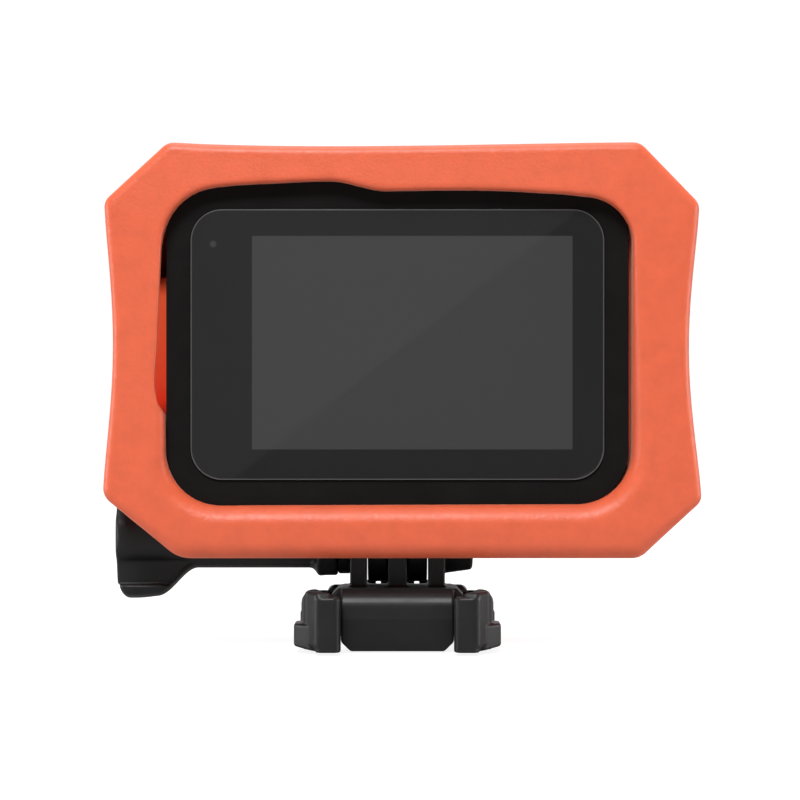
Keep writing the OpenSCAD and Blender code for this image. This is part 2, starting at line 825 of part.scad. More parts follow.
// Right-hand arm: knuckle, web, inward-curving grip and barb
module latch_arm() {
    difference() {
        union() {
            translate([arm_pivot_x, arm_pivot_y, arm_base_z])
                cylinder(h = arm_top_z - arm_base_z, r = arm_knuckle_r);
            slab_z(arm_base_z, arm_top_z) {
                polygon([[arm_inner_x, arm_rear_y], [arm_outer_x - 1, arm_rear_y],
                         [arm_outer_x, arm_rear_y + 4], [arm_outer_x, arm_pivot_y],
                         [arm_inner_x - 0.8, arm_pivot_y], [arm_inner_x, arm_pivot_y - 3]]);
            }
            // link from the web to the grip
            slab_z(arm_base_z, grip_top_z + 0.4)
                polygon([[arm_inner_x, arm_rear_y], [arm_outer_x - 1, arm_rear_y],
                         [arm_outer_x - 1.6, grip_rear_y + grip_t],
                         [grip_outer_x, grip_rear_y + 0.4],
                         [grip_inner_x + 1, grip_rear_y + grip_t]]);
            slab_z(grip_base_z, grip_top_z)
                translate([(grip_inner_x + grip_outer_x) / 2, grip_rear_y + grip_t / 2])
                    rounded_rect(grip_outer_x - grip_inner_x, grip_t, 1.2);
            // barb that catches the base
            slab_y(barb_rear_y, barb_front_y)
                polygon([[arm_inner_x, arm_base_z], [arm_inner_x + 0.6, arm_base_z],
                         [plate_half_x, barb_low_z], [plate_half_x, plate_t],
                         [arm_inner_x, plate_t]]);
        }
        // ramp on the barb's leading side
        translate([plate_half_x, barb_front_y, 0]) rotate([0, 0, 45])
            cube([4, 1.6, 30], center = true);
    }
}

module latch_arm_right() { color(black) latch_arm(); }

module latch_arm_left() { color(black) mirror([1, 0, 0]) latch_arm(); }

module captive_nut() {
    color(steel) difference() {
        translate([boss_end_x - nut_t, 0, axis_z]) rotate([0, 90, 0])
            cylinder(h = nut_t, r = nut_flats / 2 / cos(30), $fn = 6);
        pivot_cylinder(-20, 20, bore_r);
    }
}

// ---- thumb screw ----

module thrust_washer() {
    color(charcoal) difference() {
        pivot_cylinder(washer_x - washer_t, washer_x, washer_r);
        pivot_cylinder(-30, 0, bore_r);
    }
}

// Turned profile of the knob: x is the radius, y the distance from the flange's face
module knob_profile() {
    span = flange_x - knob_end_x;
    flare = flange_x - knob_start_x;
    polygon(concat(
        [[0, 0], [flange_r, 0], [flange_r, flange_t]],
        [for (i = [1 : 5]) [neck_r + (flange_r - neck_r) * (1 - sin(18 * i)),
                            flange_t + 1.7 * (1 - cos(18 * i))]],
        [for (i = [0 : 8]) [neck_r + (knob_r - 0.9 - neck_r) * (1 - cos(22.5 * i)) / 2,
                            flare + 4.8 * i / 8]],
        [[knob_r, flare + 7.8], [knob_r, span - 1.2], [knob_r - 1.2, span], [0, span]]
    ));
}

module thumb_knob() {
    paddle_half = 4.7;
    scoop_r = 9;
    color(black) difference() {
        translate([flange_x, 0, axis_z]) rotate([0, -90, 0]) rotate_extrude() knob_profile();
        // flats on both faces of the paddle, and a finger scoop in each
        for (s = [-1, 1]) {
            translate([0, s * (paddle_half + 10), axis_z])
                cube([2 * 46, 20, 30], center = true);
            translate([knob_end_x - 1, s * (paddle_half + scoop_r - 1.7), axis_z])
                rotate([0, 90, 0]) cylinder(h = 8, r = scoop_r);
        }
        screw_space(0.02);
    }
    // neck and flange keep their full round outside the paddle
    color(black) difference() {
        translate([flange_x, 0, axis_z]) rotate([0, -90, 0]) rotate_extrude() intersection() {
            knob_profile();
            translate([0, 0]) square([flange_r + 1, flange_x - knob_start_x]);
        }
        screw_space(0.02);
    }
}

// Shaft and its knurled head, grown by a margin
module screw_space(grow = 0) {
    pivot_cylinder(shaft_head_x - grow, shaft_tip_x, shaft_r + grow);
    pivot_cylinder(shaft_head_x - grow, shaft_head_x + 4 + grow, shaft_r + 0.9 + grow);
}

module screw_shaft() {
    turns = 6;
    color(steel) difference() {
        screw_space();
        // thread grooves on the stretch that enters the nut
        for (i = [0 : turns])
            translate([shaft_tip_x - 0.6 - thread_pitch * i, 0, axis_z]) rotate([0, 90, 0])
                rotate_extrude() polygon([[shaft_r - 0.3, 0], [shaft_r + 1, -0.55],
                                          [shaft_r + 1, 0.55]]);
    }
}

float_frame();
body_shell();
rear_bezel();
case_gasket();
case_screws();
screen_glass();
display_panel();
status_light();
front_window();
front_display();
side_door();
door_seal();
door_latch();
shutter_button();
shutter_switch();
mode_button();
mode_switch();
lens_collar();
lens_cover_frame();
lens_cover_glass();
lens_seal();
lens_barrel();
front_element();
rear_element();
lens_retainer();
image_sensor();
sensor_board();
main_board();
processor();
heat_spreader();
battery();
battery_tray();
memory_card();
card_slot();
usb_port();
speaker();
microphones();
finger_left();
finger_right();
hinge_pins();
buckle_body();
latch_arm_left();
latch_arm_right();
captive_nut();
thrust_washer();
thumb_knob();
screw_shaft();
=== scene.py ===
"""Looks of an action camera in a foam float, on a quick-release buckle with a long thumb screw.

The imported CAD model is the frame. Moulded and foam shapes, whose fillets run into each other, are
signed distance functions in millimetres that are meshed here and stand for their CAD nodes. The
other nodes stay, with rounded edges. Every piece has a procedural material.
"""

import math
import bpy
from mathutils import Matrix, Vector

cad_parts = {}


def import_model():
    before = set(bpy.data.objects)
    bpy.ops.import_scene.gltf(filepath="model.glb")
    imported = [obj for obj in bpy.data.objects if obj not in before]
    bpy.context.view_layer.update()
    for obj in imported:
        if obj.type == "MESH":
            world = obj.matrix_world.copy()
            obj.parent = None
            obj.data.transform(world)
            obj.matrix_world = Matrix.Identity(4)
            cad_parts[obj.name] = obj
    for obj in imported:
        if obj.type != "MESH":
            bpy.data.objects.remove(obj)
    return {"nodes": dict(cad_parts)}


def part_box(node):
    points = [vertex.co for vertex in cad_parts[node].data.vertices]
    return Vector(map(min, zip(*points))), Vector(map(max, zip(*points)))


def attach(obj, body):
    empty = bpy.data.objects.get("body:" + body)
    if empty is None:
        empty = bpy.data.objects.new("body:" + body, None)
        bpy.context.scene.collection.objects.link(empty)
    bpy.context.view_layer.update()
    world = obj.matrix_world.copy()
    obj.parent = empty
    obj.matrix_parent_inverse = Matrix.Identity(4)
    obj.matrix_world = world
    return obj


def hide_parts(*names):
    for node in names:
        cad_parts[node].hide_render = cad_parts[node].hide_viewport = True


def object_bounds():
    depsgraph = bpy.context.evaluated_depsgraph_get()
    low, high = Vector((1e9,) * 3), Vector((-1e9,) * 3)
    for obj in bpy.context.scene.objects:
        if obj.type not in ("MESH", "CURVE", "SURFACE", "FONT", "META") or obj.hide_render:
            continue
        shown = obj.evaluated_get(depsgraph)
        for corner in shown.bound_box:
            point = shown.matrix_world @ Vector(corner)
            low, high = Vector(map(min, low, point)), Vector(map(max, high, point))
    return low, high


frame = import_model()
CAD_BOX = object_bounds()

from concurrent.futures import ThreadPoolExecutor

import bpy
import numpy as np
from mathutils import Vector

NODES = frame["nodes"]
MM = 0.001


def span(node):
    """Lowest and highest corner of a CAD node, in millimetres."""
    low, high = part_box(node)
    return np.array(low) / MM, np.array(high) / MM


def middle(node):
    low, high = span(node)
    return (low + high) / 2


# ---------------------------------------------------------------- sizes taken from the frame

FLOAT_LOW, FLOAT_HIGH = span("float_frame")
SHELL_LOW, SHELL_HIGH = span("body_shell")
BEZEL_LOW, BEZEL_HIGH = span("rear_bezel")
GLASS_LOW, GLASS_HIGH = span("screen_glass")
PANEL_LOW, PANEL_HIGH = span("display_panel")
BUCKLE_LOW, BUCKLE_HIGH = span("buckle_body")
ARM_LOW, ARM_HIGH = span("latch_arm_right")
FINGER_LOW, FINGER_HIGH = span("finger_right")
KNOB_LOW, KNOB_HIGH = span("thumb_knob")
COVER_LOW, COVER_HIGH = span("lens_cover_frame")

BODY_MID_Z = middle("rear_bezel")[2]
BODY_HALF_W = (BEZEL_HIGH[0] - BEZEL_LOW[0]) / 2
BODY_HALF_H = (BEZEL_HIGH[2] - BEZEL_LOW[2]) / 2
BODY_CORNER = 8.5
REAR_Y = BEZEL_LOW[1]
FRONT_Y = SHELL_HIGH[1]
AXIS_Z = middle("screw_shaft")[2]
SHAFT_BORE, BORE_RIM = 2.56, 0.25
PRONG_R = (FINGER_HIGH[1] - FINGER_LOW[1]) / 2
SHUTTER = middle("shutter_button")
MODE = middle("mode_button")
LENS = middle("lens_cover_frame")


# ---------------------------------------------------------------- signed distance functions

def box2(u, v, half_u, half_v, r=0.0):
    """Rectangle with rounded corners, centred on zero."""
    a = np.abs(u) - half_u + r
    b = np.abs(v) - half_v + r
    outside = np.hypot(np.maximum(a, 0), np.maximum(b, 0))
    return outside + np.minimum(np.maximum(a, b), 0) - r


def both(a, b, r=0.0):
    """Intersection, its outer edge rounded to radius r."""
    corner = np.hypot(np.maximum(a + r, 0), np.maximum(b + r, 0))
    return np.minimum(-r, np.maximum(a, b)) + corner


def join(a, b, r=0.0):
    """Union, its inner corner filled to radius r."""
    return -both(-a, -b, r)


def cut(a, b, r=0.0):
    """a without b, the rim rounded to radius r."""
    return both(a, -b, r)


def slab(outline, across, half, r=0.0):
    """A flat outline given a thickness of twice half, its edges rounded to radius r."""
    return both(outline, np.abs(across) - half, r)


def smooth(t):
    t = np.clip(t, 0, 1)
    return t * t * (3 - 2 * t)


def outline(points):
    """Signed distance to a closed polygon, as a function of two coordinates."""
    start = np.asarray(points, float)
    end = np.roll(start, -1, axis=0)

    def distance(u, v):
        nearest = np.full(u.shape, np.inf)
        inside = np.zeros(u.shape, bool)
        for (ax, ay), (bx, by) in zip(start, end):
            ex, ey = bx - ax, by - ay
            pu, pv = u - ax, v - ay
            along = np.clip((pu * ex + pv * ey) / (ex * ex + ey * ey), 0, 1)
            nearest = np.minimum(nearest, (pu - along * ex) ** 2 + (pv - along * ey) ** 2)
            if ay != by:
                crosses = (ay > v) != (by > v)
                inside ^= crosses & (pu < ex * pv / ey)
        return np.where(inside, -1.0, 1.0) * np.sqrt(nearest)

    return distance


def arced(points, radii, steps=6):
    """The closed path through the points with each corner turned into an arc of its radius."""
    points = [np.asarray(p, float) for p in points]
    n = len(points)
    radii = [radii] * n if np.isscalar(radii) else radii
    path = []
    for i, here in enumerate(points):
        before, after = points[i - 1] - here, points[(i + 1) % n] - here
        before, after = before / np.linalg.norm(before), after / np.linalg.norm(after)
        half = math.acos(np.clip(before @ after, -1, 1)) / 2
        r = radii[i]
        if r == 0:
            path.append(here)
            continue
        bisector = (before + after) / np.linalg.norm(before + after)
        centre = here + bisector * r / math.sin(half)
        first = here + before * r / math.tan(half) - centre
        last = here + after * r / math.tan(half) - centre
        turn = math.atan2(first[0] * last[1] - first[1] * last[0], first @ last)
        for s in range(steps + 1):
            c, q = math.cos(turn * s / steps), math.sin(turn * s / steps)
            path.append(centre + [first[0] * c - first[1] * q, first[0] * q + first[1] * c])
    return np.array(path)


# ---------------------------------------------------------------- meshing

BLOCK = 8  # grid points a block is wide; blocks far from the surface are not sampled
THREADS = ThreadPoolExecutor(4)

CORNERS = np.array([[i, j, k] for i in (0, 1) for j in (0, 1) for k in (0, 1)])
EDGES = [(a, b) for a in range(8) for b in range(a + 1, 8)
         if np.abs(CORNERS[a] - CORNERS[b]).sum() == 1]


def measure(shape, points):
    """The shape's distances at many points, worked out a chunk at a time on every core."""
    chunks = np.array_split(points, max(1, len(points) // 12000))
    return np.concatenate(list(THREADS.map(lambda chunk: shape(chunk.T), chunks)))


def sample(shape, low, counts, voxel):
    """The shape's distances on a grid, sampled where the surface may be."""
    blocks = -(-counts // BLOCK)
    grid = np.empty(blocks * BLOCK)
    index = np.stack(np.meshgrid(*[np.arange(b) for b in blocks], indexing="ij"), -1)
    index = index.reshape(-1, 3)
    reach = (BLOCK - 1) / 2 * voxel
    centre = low + index * BLOCK * voxel + reach
    away = measure(shape, centre)
    near = np.abs(away) < reach * math.sqrt(3) + 2 * voxel
    tiles = np.broadcast_to(np.where(away < 0, -9.0, 9.0)[:, None], (len(index), BLOCK ** 3))
    tiles = tiles.copy()
    local = np.stack(np.meshgrid(*[np.arange(BLOCK)] * 3, indexing="ij"), -1).reshape(-1, 3)
    chosen = np.flatnonzero(near)
    points = low + (index[chosen][:, None, :] * BLOCK + local) * voxel
    tiles[chosen] = measure(shape, points.reshape(-1, 3)).reshape(len(chosen), -1)
    tiles = tiles.reshape(*blocks, BLOCK, BLOCK, BLOCK).transpose(0, 3, 1, 4, 2, 5)
    grid[:] = tiles.reshape(grid.shape)
    return grid


def nets(field):
    """Surface nets: one vertex in each crossed cell and one quad round each crossed edge."""
    inside = field < 0
    cells = [n - 1 for n in field.shape]
    count = np.zeros(cells, np.int8)
    for i, j, k in CORNERS:
        count += inside[i:cells[0] + i, j:cells[1] + j, k:cells[2] + k]
    cell = np.argwhere((count > 0) & (count < 8))
    number = np.full(cells, -1, np.int64)
    number[tuple(cell.T)] = np.arange(len(cell))
    value = np.stack([field[tuple((cell + c).T)] for c in CORNERS], 1)
    total, hits = np.zeros((len(cell), 3)), np.zeros(len(cell))
    for a, b in EDGES:
        crossed = (value[:, a] < 0) != (value[:, b] < 0)
        step = value[:, a] - value[:, b]
        share = np.where(crossed, value[:, a] / np.where(crossed, step, 1), 0)[:, None]
        total += crossed[:, None] * (CORNERS[a] + share * (CORNERS[b] - CORNERS[a]))
        hits += crossed
    places = cell + total / hits[:, None]
    quads = []
    for axis in range(3):
        u, v = (axis + 1) % 3, (axis + 2) % 3
        here = np.take(inside, range(field.shape[axis] - 1), axis)
        there = np.take(inside, range(1, field.shape[axis]), axis)
        edge = np.argwhere(here != there)
        edge = edge[(edge[:, u] > 0) & (edge[:, v] > 0)]
        edge = edge[(edge[:, u] < field.shape[u] - 1) & (edge[:, v] < field.shape[v] - 1)]
        ring = []
        for du, dv in ((1, 1), (0, 1), (0, 0), (1, 0)):
            back = edge.copy()
            back[:, u] -= du
            back[:, v] -= dv
            ring.append(number[tuple(back.T)])
        ring = np.stack(ring, 1)
        outward = here[tuple(edge.T)]
        quads.append(np.where(outward[:, None], ring, ring[:, ::-1]))
    return places, np.concatenate(quads)


def slope(shape, p, voxel):
    """The shape's distance at the points, and its gradient."""
    step = voxel * 0.02
    here = measure(shape, p)
    moved = [measure(shape, p + step * axis) for axis in np.eye(3)]
    return here, (np.stack(moved, 1) - here[:, None]) / step


def settle(shape, p, voxel, rounds):
    """Moves the points onto the surface."""
    for _ in range(rounds):
        away, g = slope(shape, p, voxel)
        square = np.maximum((g * g).sum(1, keepdims=True), 0.05)
        step = away[:, None] * g / square
        size = np.linalg.norm(step, axis=1, keepdims=True)
        p = p - step * np.minimum(1, voxel * 0.6 / np.maximum(size, 1e-9))
    return p


def unit(v):
    return v / np.maximum(np.linalg.norm(v, axis=1, keepdims=True), 1e-9)


def relax(shape, p, quads, voxel, rounds):
    """Evens the mesh out along the surface."""
    a = quads[:, [0, 1, 2, 3]].ravel()
    b = quads[:, [1, 2, 3, 0]].ravel()
    weight = np.bincount(a, minlength=len(p)) + np.bincount(b, minlength=len(p))
    for _ in range(rounds):
        mean = np.stack([np.bincount(a, p[b, i], len(p)) + np.bincount(b, p[a, i], len(p))
                         for i in range(3)], 1) / weight[:, None]
        g = unit(slope(shape, p, voxel)[1])
        move = mean - p
        move -= (move * g).sum(1, keepdims=True) * g
        p = settle(shape, p + 0.6 * move, voxel, 1)
    return p


def add_mesh(name, points, faces, normals=None):
    mesh = bpy.data.meshes.new(name)
    mesh.from_pydata((points * MM).tolist(), [], faces.tolist())
    mesh.polygons.foreach_set("use_smooth", [True] * len(mesh.polygons))
    mesh.update()
    if normals is not None:
        mesh.normals_split_custom_set_from_vertices(normals.tolist())
    piece = bpy.data.objects.new(name, mesh)
    bpy.context.scene.collection.objects.link(piece)
    return piece


def moulded(name, shape, low, high, voxel, mirrored=None):
    """A piece whose surface is where the shape's distance is zero, and if asked its mirror image."""
    low = np.asarray(low, float) - 3.37 * voxel
    counts = np.ceil((np.asarray(high) + 3 * voxel - low) / voxel).astype(int) + 1
    places, quads = nets(sample(shape, low, counts, voxel))
    points = settle(shape, low + places * voxel, voxel, 2)
    points = relax(shape, points, quads, voxel, 2)
    points = settle(shape, points, voxel, 1)
    normals = unit(slope(shape, points, voxel)[1])
    piece = add_mesh(name, points, quads, normals)
    if mirrored is None:
        return piece
    flip = np.array([-1, 1, 1])
    return piece, add_mesh(mirrored, points * flip, quads[:, ::-1], normals * flip)


# ---------------------------------------------------------------- foam float

FLOAT_EDGE, FLOAT_LOW_EDGE = 1.4, 1.2  # radius of the edges, and what the bottom adds to it
FLOAT_SWELL, FLOAT_LOW_SWELL = 0.3, 0.25  # swell of the faces, and what the bottom adds to it
FLOAT_INSET = 0.35  # from the node's faces to where the swell starts
WINDOW_DEPTH = 2  # how far the windows are cut into the room for the camera
RIM_TIGHT, RIM_MORE = 0.75, 2.15  # the screen window's rim: least radius, and the most added
LENS_WINDOW, LENS_WINDOW_RIM = (33.4, 23.2, 8.4), 1.6  # half width, half height and corner; rim
BAY_END, BAY_DEEPER, BAY_LEAN = 6.4, 6, 0.13  # where the bay ends; it ends deeper at the top
BAY_RIM = 0.5
MODE_HOLE, MODE_HOLE_X = (6.5, 10, 5.5), (-45, 15)  # size as above; middle and half depth
SHUTTER_HOLE, SHUTTER_HOLE_Z = (9, 6.5, 6.4), (80, 9)
HOLE_RIM = 1.3
CHANNEL_HALF, CHANNEL_RIGHT, CHANNEL_TOP = 8.7, 13.4, 26
KNOB_ROOM_R, KNOB_ROOM_RIGHT = 11.1, -34.6
CHANNEL_RIM = 0.9
SEAT_PLAY, SEAT_RIM = 0.05, 0.5


def bowed(a, b, depth, lean=1.0, steps=16):
    """Points of a side from a to b that bows inwards; lean under 1 moves the bow towards a."""
    a, b = np.asarray(a, float), np.asarray(b, float)
    along = (b - a) / np.linalg.norm(b - a)
    inward = np.array([along[1], -along[0]])
    path = []
    for i in range(1, steps):
        t = i / steps
        path.append(a + (b - a) * t + inward * depth * math.sin(math.pi * t ** lean) ** 1.25)
    return path


def float_outline():
    """The octagon seen from behind: cut corners, and top and sides that bow inwards."""
    (l, _, b), (r, _, t) = FLOAT_LOW, FLOAT_HIGH
    corners = [  # place, radius, bow of the side that follows, lean of that bow
        ((l + 9.5, t + 0.25), 2.6, 0.58, 0.66), ((r - 9.05, t + 0.3), 2.6, 0, 1),
        ((r + 0.1, t - 9.15), 2.2, 1.75, 1), ((r + 0.45, b + 8.5), 2.2, 0, 1),
        ((r - 8.95, b - 0.4), 3.2, 0, 1), ((l + 11.1, b - 0.4), 5.5, 0, 1),
        ((l - 0.45, b + 9.25), 2.8, 1.4, 1), ((l - 0.25, t - 8.75), 2.2, 0, 1),
    ]
    arcs = arced([c[0] for c in corners], [c[1] for c in corners], 8)
    per = len(arcs) // len(corners)
    path = []
    for i, (_, _, depth, lean) in enumerate(corners):
        arc_points = arcs[i * per:(i + 1) * per]
        path += list(arc_points)
        if depth:
            following = arcs[((i + 1) % len(corners)) * per]
            path += bowed(arc_points[-1], following, depth, lean)
    return outline(path)


def arc(x, z, r, start, end, steps=10):
    """Points of an arc from one angle to another, in degrees from the X axis."""
    angles = np.radians(np.linspace(start, end, steps + 1))
    return [(x + r * math.cos(a), z + r * math.sin(a)) for a in angles]


def flowing(points, steps=5):
    """A smooth open curve through the points."""
    p = np.asarray(points, float)
    p = np.vstack([2 * p[0] - p[1], p, 2 * p[-1] - p[-2]])
    path = []
    for a, b, c, d in zip(p, p[1:], p[2:], p[3:]):
        for i in range(steps):
            t = i / steps
            path.append(b + 0.5 * t * (c - a + t * (2 * a - 5 * b + 4 * c - d
                                                    + t * (3 * (b - c) + d - a))))
    return path + [p[-2]]


def rear_opening():
    """Window round the screen, its top edge rising over the shutter button."""
    left, right = -BODY_HALF_W, BODY_HALF_W + 0.5
    low, top = SHELL_LOW[2] + 0.25, 71.36
    over = SHUTTER[0]
    crest = [(25.5, top - 0.5), (16, top), (8, top + 0.1), (0.5, top), (-2.7, top + 0.02),
             (-5.8, top + 0.65), (-8.9, top + 1.38), (-12, top + 1.48), (over + 4.5, top + 1.35),
             (over, top + 1.15), (over - 4.3, top + 0.92), (-27.6, top + 0.62)]
    path = arc(left + 8.5, low + 8.3, 8.5, 180, 268) + arc(right - 8.6, low + 8.6, 8.6, 272, 360)
    path += arc(right - 7.4, top - 8.3, 7.4, 0, 82) + flowing(crest)
    path += arc(left + 8.5, top - 8.3, 8.85, 97, 180)
    return outline(path)


def side_relief():
    """Shallow bay beside the mode button, deepest near its lower end."""
    edge = -BODY_HALF_W
    path = [(edge + 4, 67.2), (edge - 0.1, 65.9), (edge - 0.75, 62), (edge - 1.2, 54),
            (edge - 1.5, 47), (edge - 1.9, 41.6), (edge - 1.45, 38.4), (edge + 0.4, 36.2),
            (edge + 4, 36)]
    return outline(arced(path, [0, 3, 12, 20, 12, 1.6, 1.6, 1.5, 0], 5))


FLOAT_LINE = float_outline()
REAR_WINDOW = rear_opening()
RELIEF = side_relief()


def opening_round(x, z):
    """Radius of the window's rim: tight along the top, generous at the bottom and right."""
    down = smooth((BODY_MID_Z + 21 - z) / 34)
    inward = np.maximum(smooth((x + 37) / 9), smooth((SHELL_LOW[2] + 10 - z) / 8))
    return RIM_TIGHT + RIM_MORE * down * (0.25 + 0.75 * inward)


def float_block(x, y, z):
    """The octagon as a block whose edges are softer and faces fuller towards the bottom."""
    mid_y = (FLOAT_LOW[1] + FLOAT_HIGH[1]) / 2
    half_y = (FLOAT_HIGH[1] - FLOAT_LOW[1]) / 2
    line = FLOAT_LINE(x, z)
    low = smooth((FLOAT_LOW[2] + 9 - z) / 8)
    edge = FLOAT_EDGE + FLOAT_LOW_EDGE * low
    swell = FLOAT_SWELL * smooth(-line / 9) + FLOAT_LOW_SWELL * low * smooth(-line / 6)
    return slab(line, y - mid_y, half_y - FLOAT_INSET + swell, edge)


def cut_windows(solid, x, y, z):
    """Cuts the windows for the screen and for the lens."""
    rear = both(REAR_WINDOW(x, z), y - REAR_Y - WINDOW_DEPTH)
    solid = cut(solid, rear, opening_round(x, z))
    front = box2(x, z - BODY_MID_Z, *LENS_WINDOW)
    return cut(solid, both(front, FRONT_Y - WINDOW_DEPTH - y), LENS_WINDOW_RIM)


def cut_finger_holes(solid, x, y, z):
    """Cuts the bay beside the mode button, then the holes over both buttons."""
    bay_end = BAY_END + BAY_DEEPER * smooth((z - MODE[2] - 11.5) / 1.5)
    bay = both(RELIEF(x + BAY_LEAN * (y - REAR_Y), z), np.maximum(y - bay_end, x + 30))
    solid = cut(solid, bay, BAY_RIM)
    side_x, side_half = MODE_HOLE_X
    side = slab(box2(y, z - MODE[2] - 0.7, *MODE_HOLE), x - side_x, side_half)
    solid = cut(solid, side, HOLE_RIM)
    over_z, over_half = SHUTTER_HOLE_Z
    over = slab(box2(x - SHUTTER[0], y, *SHUTTER_HOLE), z - over_z, over_half)
    return cut(solid, over, HOLE_RIM)


def cut_mount_room(solid, x, y, z):
    """Cuts the channel for the mount and its screw, and room for the knob."""
    around = np.hypot(y, z - AXIS_Z)
    channel = both(np.abs(y) - CHANNEL_HALF, np.maximum(x - CHANNEL_RIGHT, z - CHANNEL_TOP))
    solid = cut(solid, channel, CHANNEL_RIM)
    return cut(solid, both(around - KNOB_ROOM_R, x - KNOB_ROOM_RIGHT), CHANNEL_RIM)


def cut_seat(solid, x, y, z):
    """Cuts the room that the camera fills."""
    half = (BODY_HALF_W + SEAT_PLAY, BODY_HALF_H + SEAT_PLAY)
    seat = slab(box2(x, z - BODY_MID_Z, *half, BODY_CORNER),
                y - (REAR_Y + FRONT_Y) / 2, (FRONT_Y - REAR_Y) / 2)
    return cut(solid, seat, SEAT_RIM)


def float_shape(p):
    solid = float_block(*p)
    for step in (cut_windows, cut_finger_holes, cut_mount_room, cut_seat):
        solid = step(solid, *p)
    return solid


# ---------------------------------------------------------------- quick-release buckle

ARM_PIVOT, KNUCKLE_R, KNUCKLE_ROOM_R = (13.0, 9.4), 2.1, 2.2
# below, a place such as BOSS_X is a middle and a half thickness, and a size such as RAMP is a
# half width, a half depth or height, and the radius of the corners
BLOCK_HALF, BLOCK_TAPER = 8.75, 7.2  # half width, and where 45-degree cuts take its low corners
DECK_TOP, DECK_FALL = 9.45, 0.09
DECK_Y, DECK_STEP = (-1.1, 8.1), 0.9  # the deck is narrower by the step over the block
PLATE_HALF, PLATE_EDGE = 2.25, 0.5
RAIL_FOOT, RAIL_LEAN, RAIL_SCALE = 15.1, 0.78, 1.27  # scale: about the length of (1, lean)
RAMP, RAMP_Y, RAMP_Z = (8.5, 5, 1.5), 15.5, (2.6, 2.7)
HOLLOW, HOLLOW_PLACE, HOLLOW_TOP = (1.7, 3, 0.8), (11.2, 16), 2.6
MIDDLE_PRONG, OUTER_PRONG = (0, 1.52), (6.22, 1.27)
PRONG_FOOT, PRONG_EDGE = 6.5, 0.4
STOP, STOP_PLACE, STOP_HALF = (0.6, 1.1, 0.2), (8.5, 8.5), 4.98
NOTCH, NOTCH_PLACE = (0.4, 0.35), (3.15, 9.05)
BOSS_R, BOSS_X, BOSS_TAPER = 6.1, (9.5, 2.5), 0.14
NUT_HALF, NUT_FLOOR = 4.02, 7.98


def prong(x, y, z, mid, half):
    """A flat tongue whose end is round about the pivot."""
    above = np.hypot(y, z - AXIS_Z) - PRONG_R
    tongue = np.where(z > AXIS_Z, above, np.abs(y) - PRONG_R)
    return slab(both(tongue, PRONG_FOOT - z), x - mid, half, PRONG_EDGE)


BLOCK_SIDE = outline(arced(
    [(-14.0, 0), (-15.4, 5.2), (-15.4, 8.7), (-12.7, 9.72), (-6, 9.45), (0, 9.45),
     (12, 8.35), (12, 0)],
    [0.3, 0.5, 2.6, 1.4, 4, 3, 0.8, 0], 8))
DECK_END = outline(arced(
    [(0, 7.4), (11.3, 7.4), (11.3, 8.3), (10.2, 9.45), (0, 9.45)], [0, 0.3, 0.5, 0.5, 0]))
PLATE_LINE = outline(arced(
    [(-16, ARM_PIVOT[1]), (16, ARM_PIVOT[1]), (16, 17.5), (11, 22.5), (-11, 22.5),
     (-16, 17.5)],
    [0.3, 0.3, 1.5, 1.5, 1.5, 1.5]))


def buckle_block(x, y, z):
    """The block at the rear, joined to the deck in front of it."""
    across = np.abs(x)
    block = both(BLOCK_SIDE(y, z), across - BLOCK_HALF, 0.35)
    block = both(block, (across - z - BLOCK_TAPER) / math.sqrt(2), 0.2)
    end = DECK_END(across + DECK_STEP * (y < -1), z)
    narrow = both(end, np.abs(y - DECK_Y[0]) - DECK_Y[1], 0.45)
    deck = both(narrow, z - DECK_TOP + DECK_FALL * np.maximum(y, 0), 0.3)
    return join(block, deck, 0.5)


def buckle_plate(x, y, z):
    """The plate that slides into a base, with room for the knuckles and leaning rails."""
    across = np.abs(x)
    plate = PLATE_LINE(x, y)
    knuckle = np.hypot(across - ARM_PIVOT[0], y - ARM_PIVOT[1]) - KNUCKLE_ROOM_R
    plate = slab(cut(plate, knuckle, 0.3), z - PLATE_HALF, PLATE_HALF, PLATE_EDGE)
    return both(plate, (across - RAIL_LEAN * z - RAIL_FOOT) / RAIL_SCALE, 0.4)


def stop_bar(x, y, z):
    """Low stop behind the fingers, notched at the middle of each."""
    stop = slab(box2(y - STOP_PLACE[0], z - STOP_PLACE[1], *STOP), x, STOP_HALF)
    notch = slab(box2(np.abs(x) - NOTCH_PLACE[0], z - NOTCH_PLACE[1], *NOTCH), y, 10)
    return cut(stop, notch)


def nut_pocket(x, y, z):
    """Hexagon about the screw, open to the right."""
    angles = [math.radians(30 + 60 * i) for i in range(3)]
    sides = [np.abs(y * math.cos(a) + (z - AXIS_Z) * math.sin(a)) for a in angles]
    return both(np.max(sides, axis=0) - NUT_HALF, NUT_FLOOR - x)


def buckle_shape(p):
    x, y, z = p
    body = join(buckle_block(x, y, z), buckle_plate(x, y, z), 0.8)
    ramp = slab(box2(x, y - RAMP_Y, *RAMP), z - RAMP_Z[0], RAMP_Z[1], 0.7)
    body = join(body, ramp, 0.6)
    for side in (-1, 1):
        hollow = box2(x - side * HOLLOW_PLACE[0], y - HOLLOW_PLACE[1], *HOLLOW)
        body = cut(body, slab(hollow, z, HOLLOW_TOP), 0.3)
    prongs = np.minimum(prong(x, y, z, *MIDDLE_PRONG), prong(np.abs(x), y, z, *OUTER_PRONG))
    body = join(body, prongs, 0.5)
    body = join(body, stop_bar(x, y, z), 0.2)
    around = np.hypot(y, z - AXIS_Z)
    boss = slab(around - BOSS_R + BOSS_TAPER * (x - 7.5), x - BOSS_X[0], BOSS_X[1], 0.5)
    body = join(body, boss, 0.3)
    body = cut(body, around - SHAFT_BORE, BORE_RIM)
    body = cut(body, nut_pocket(x, y, z), 0.25)
    return both(body, BUCKLE_LOW[2] - z, 0.2)


# ---------------------------------------------------------------- latch arms

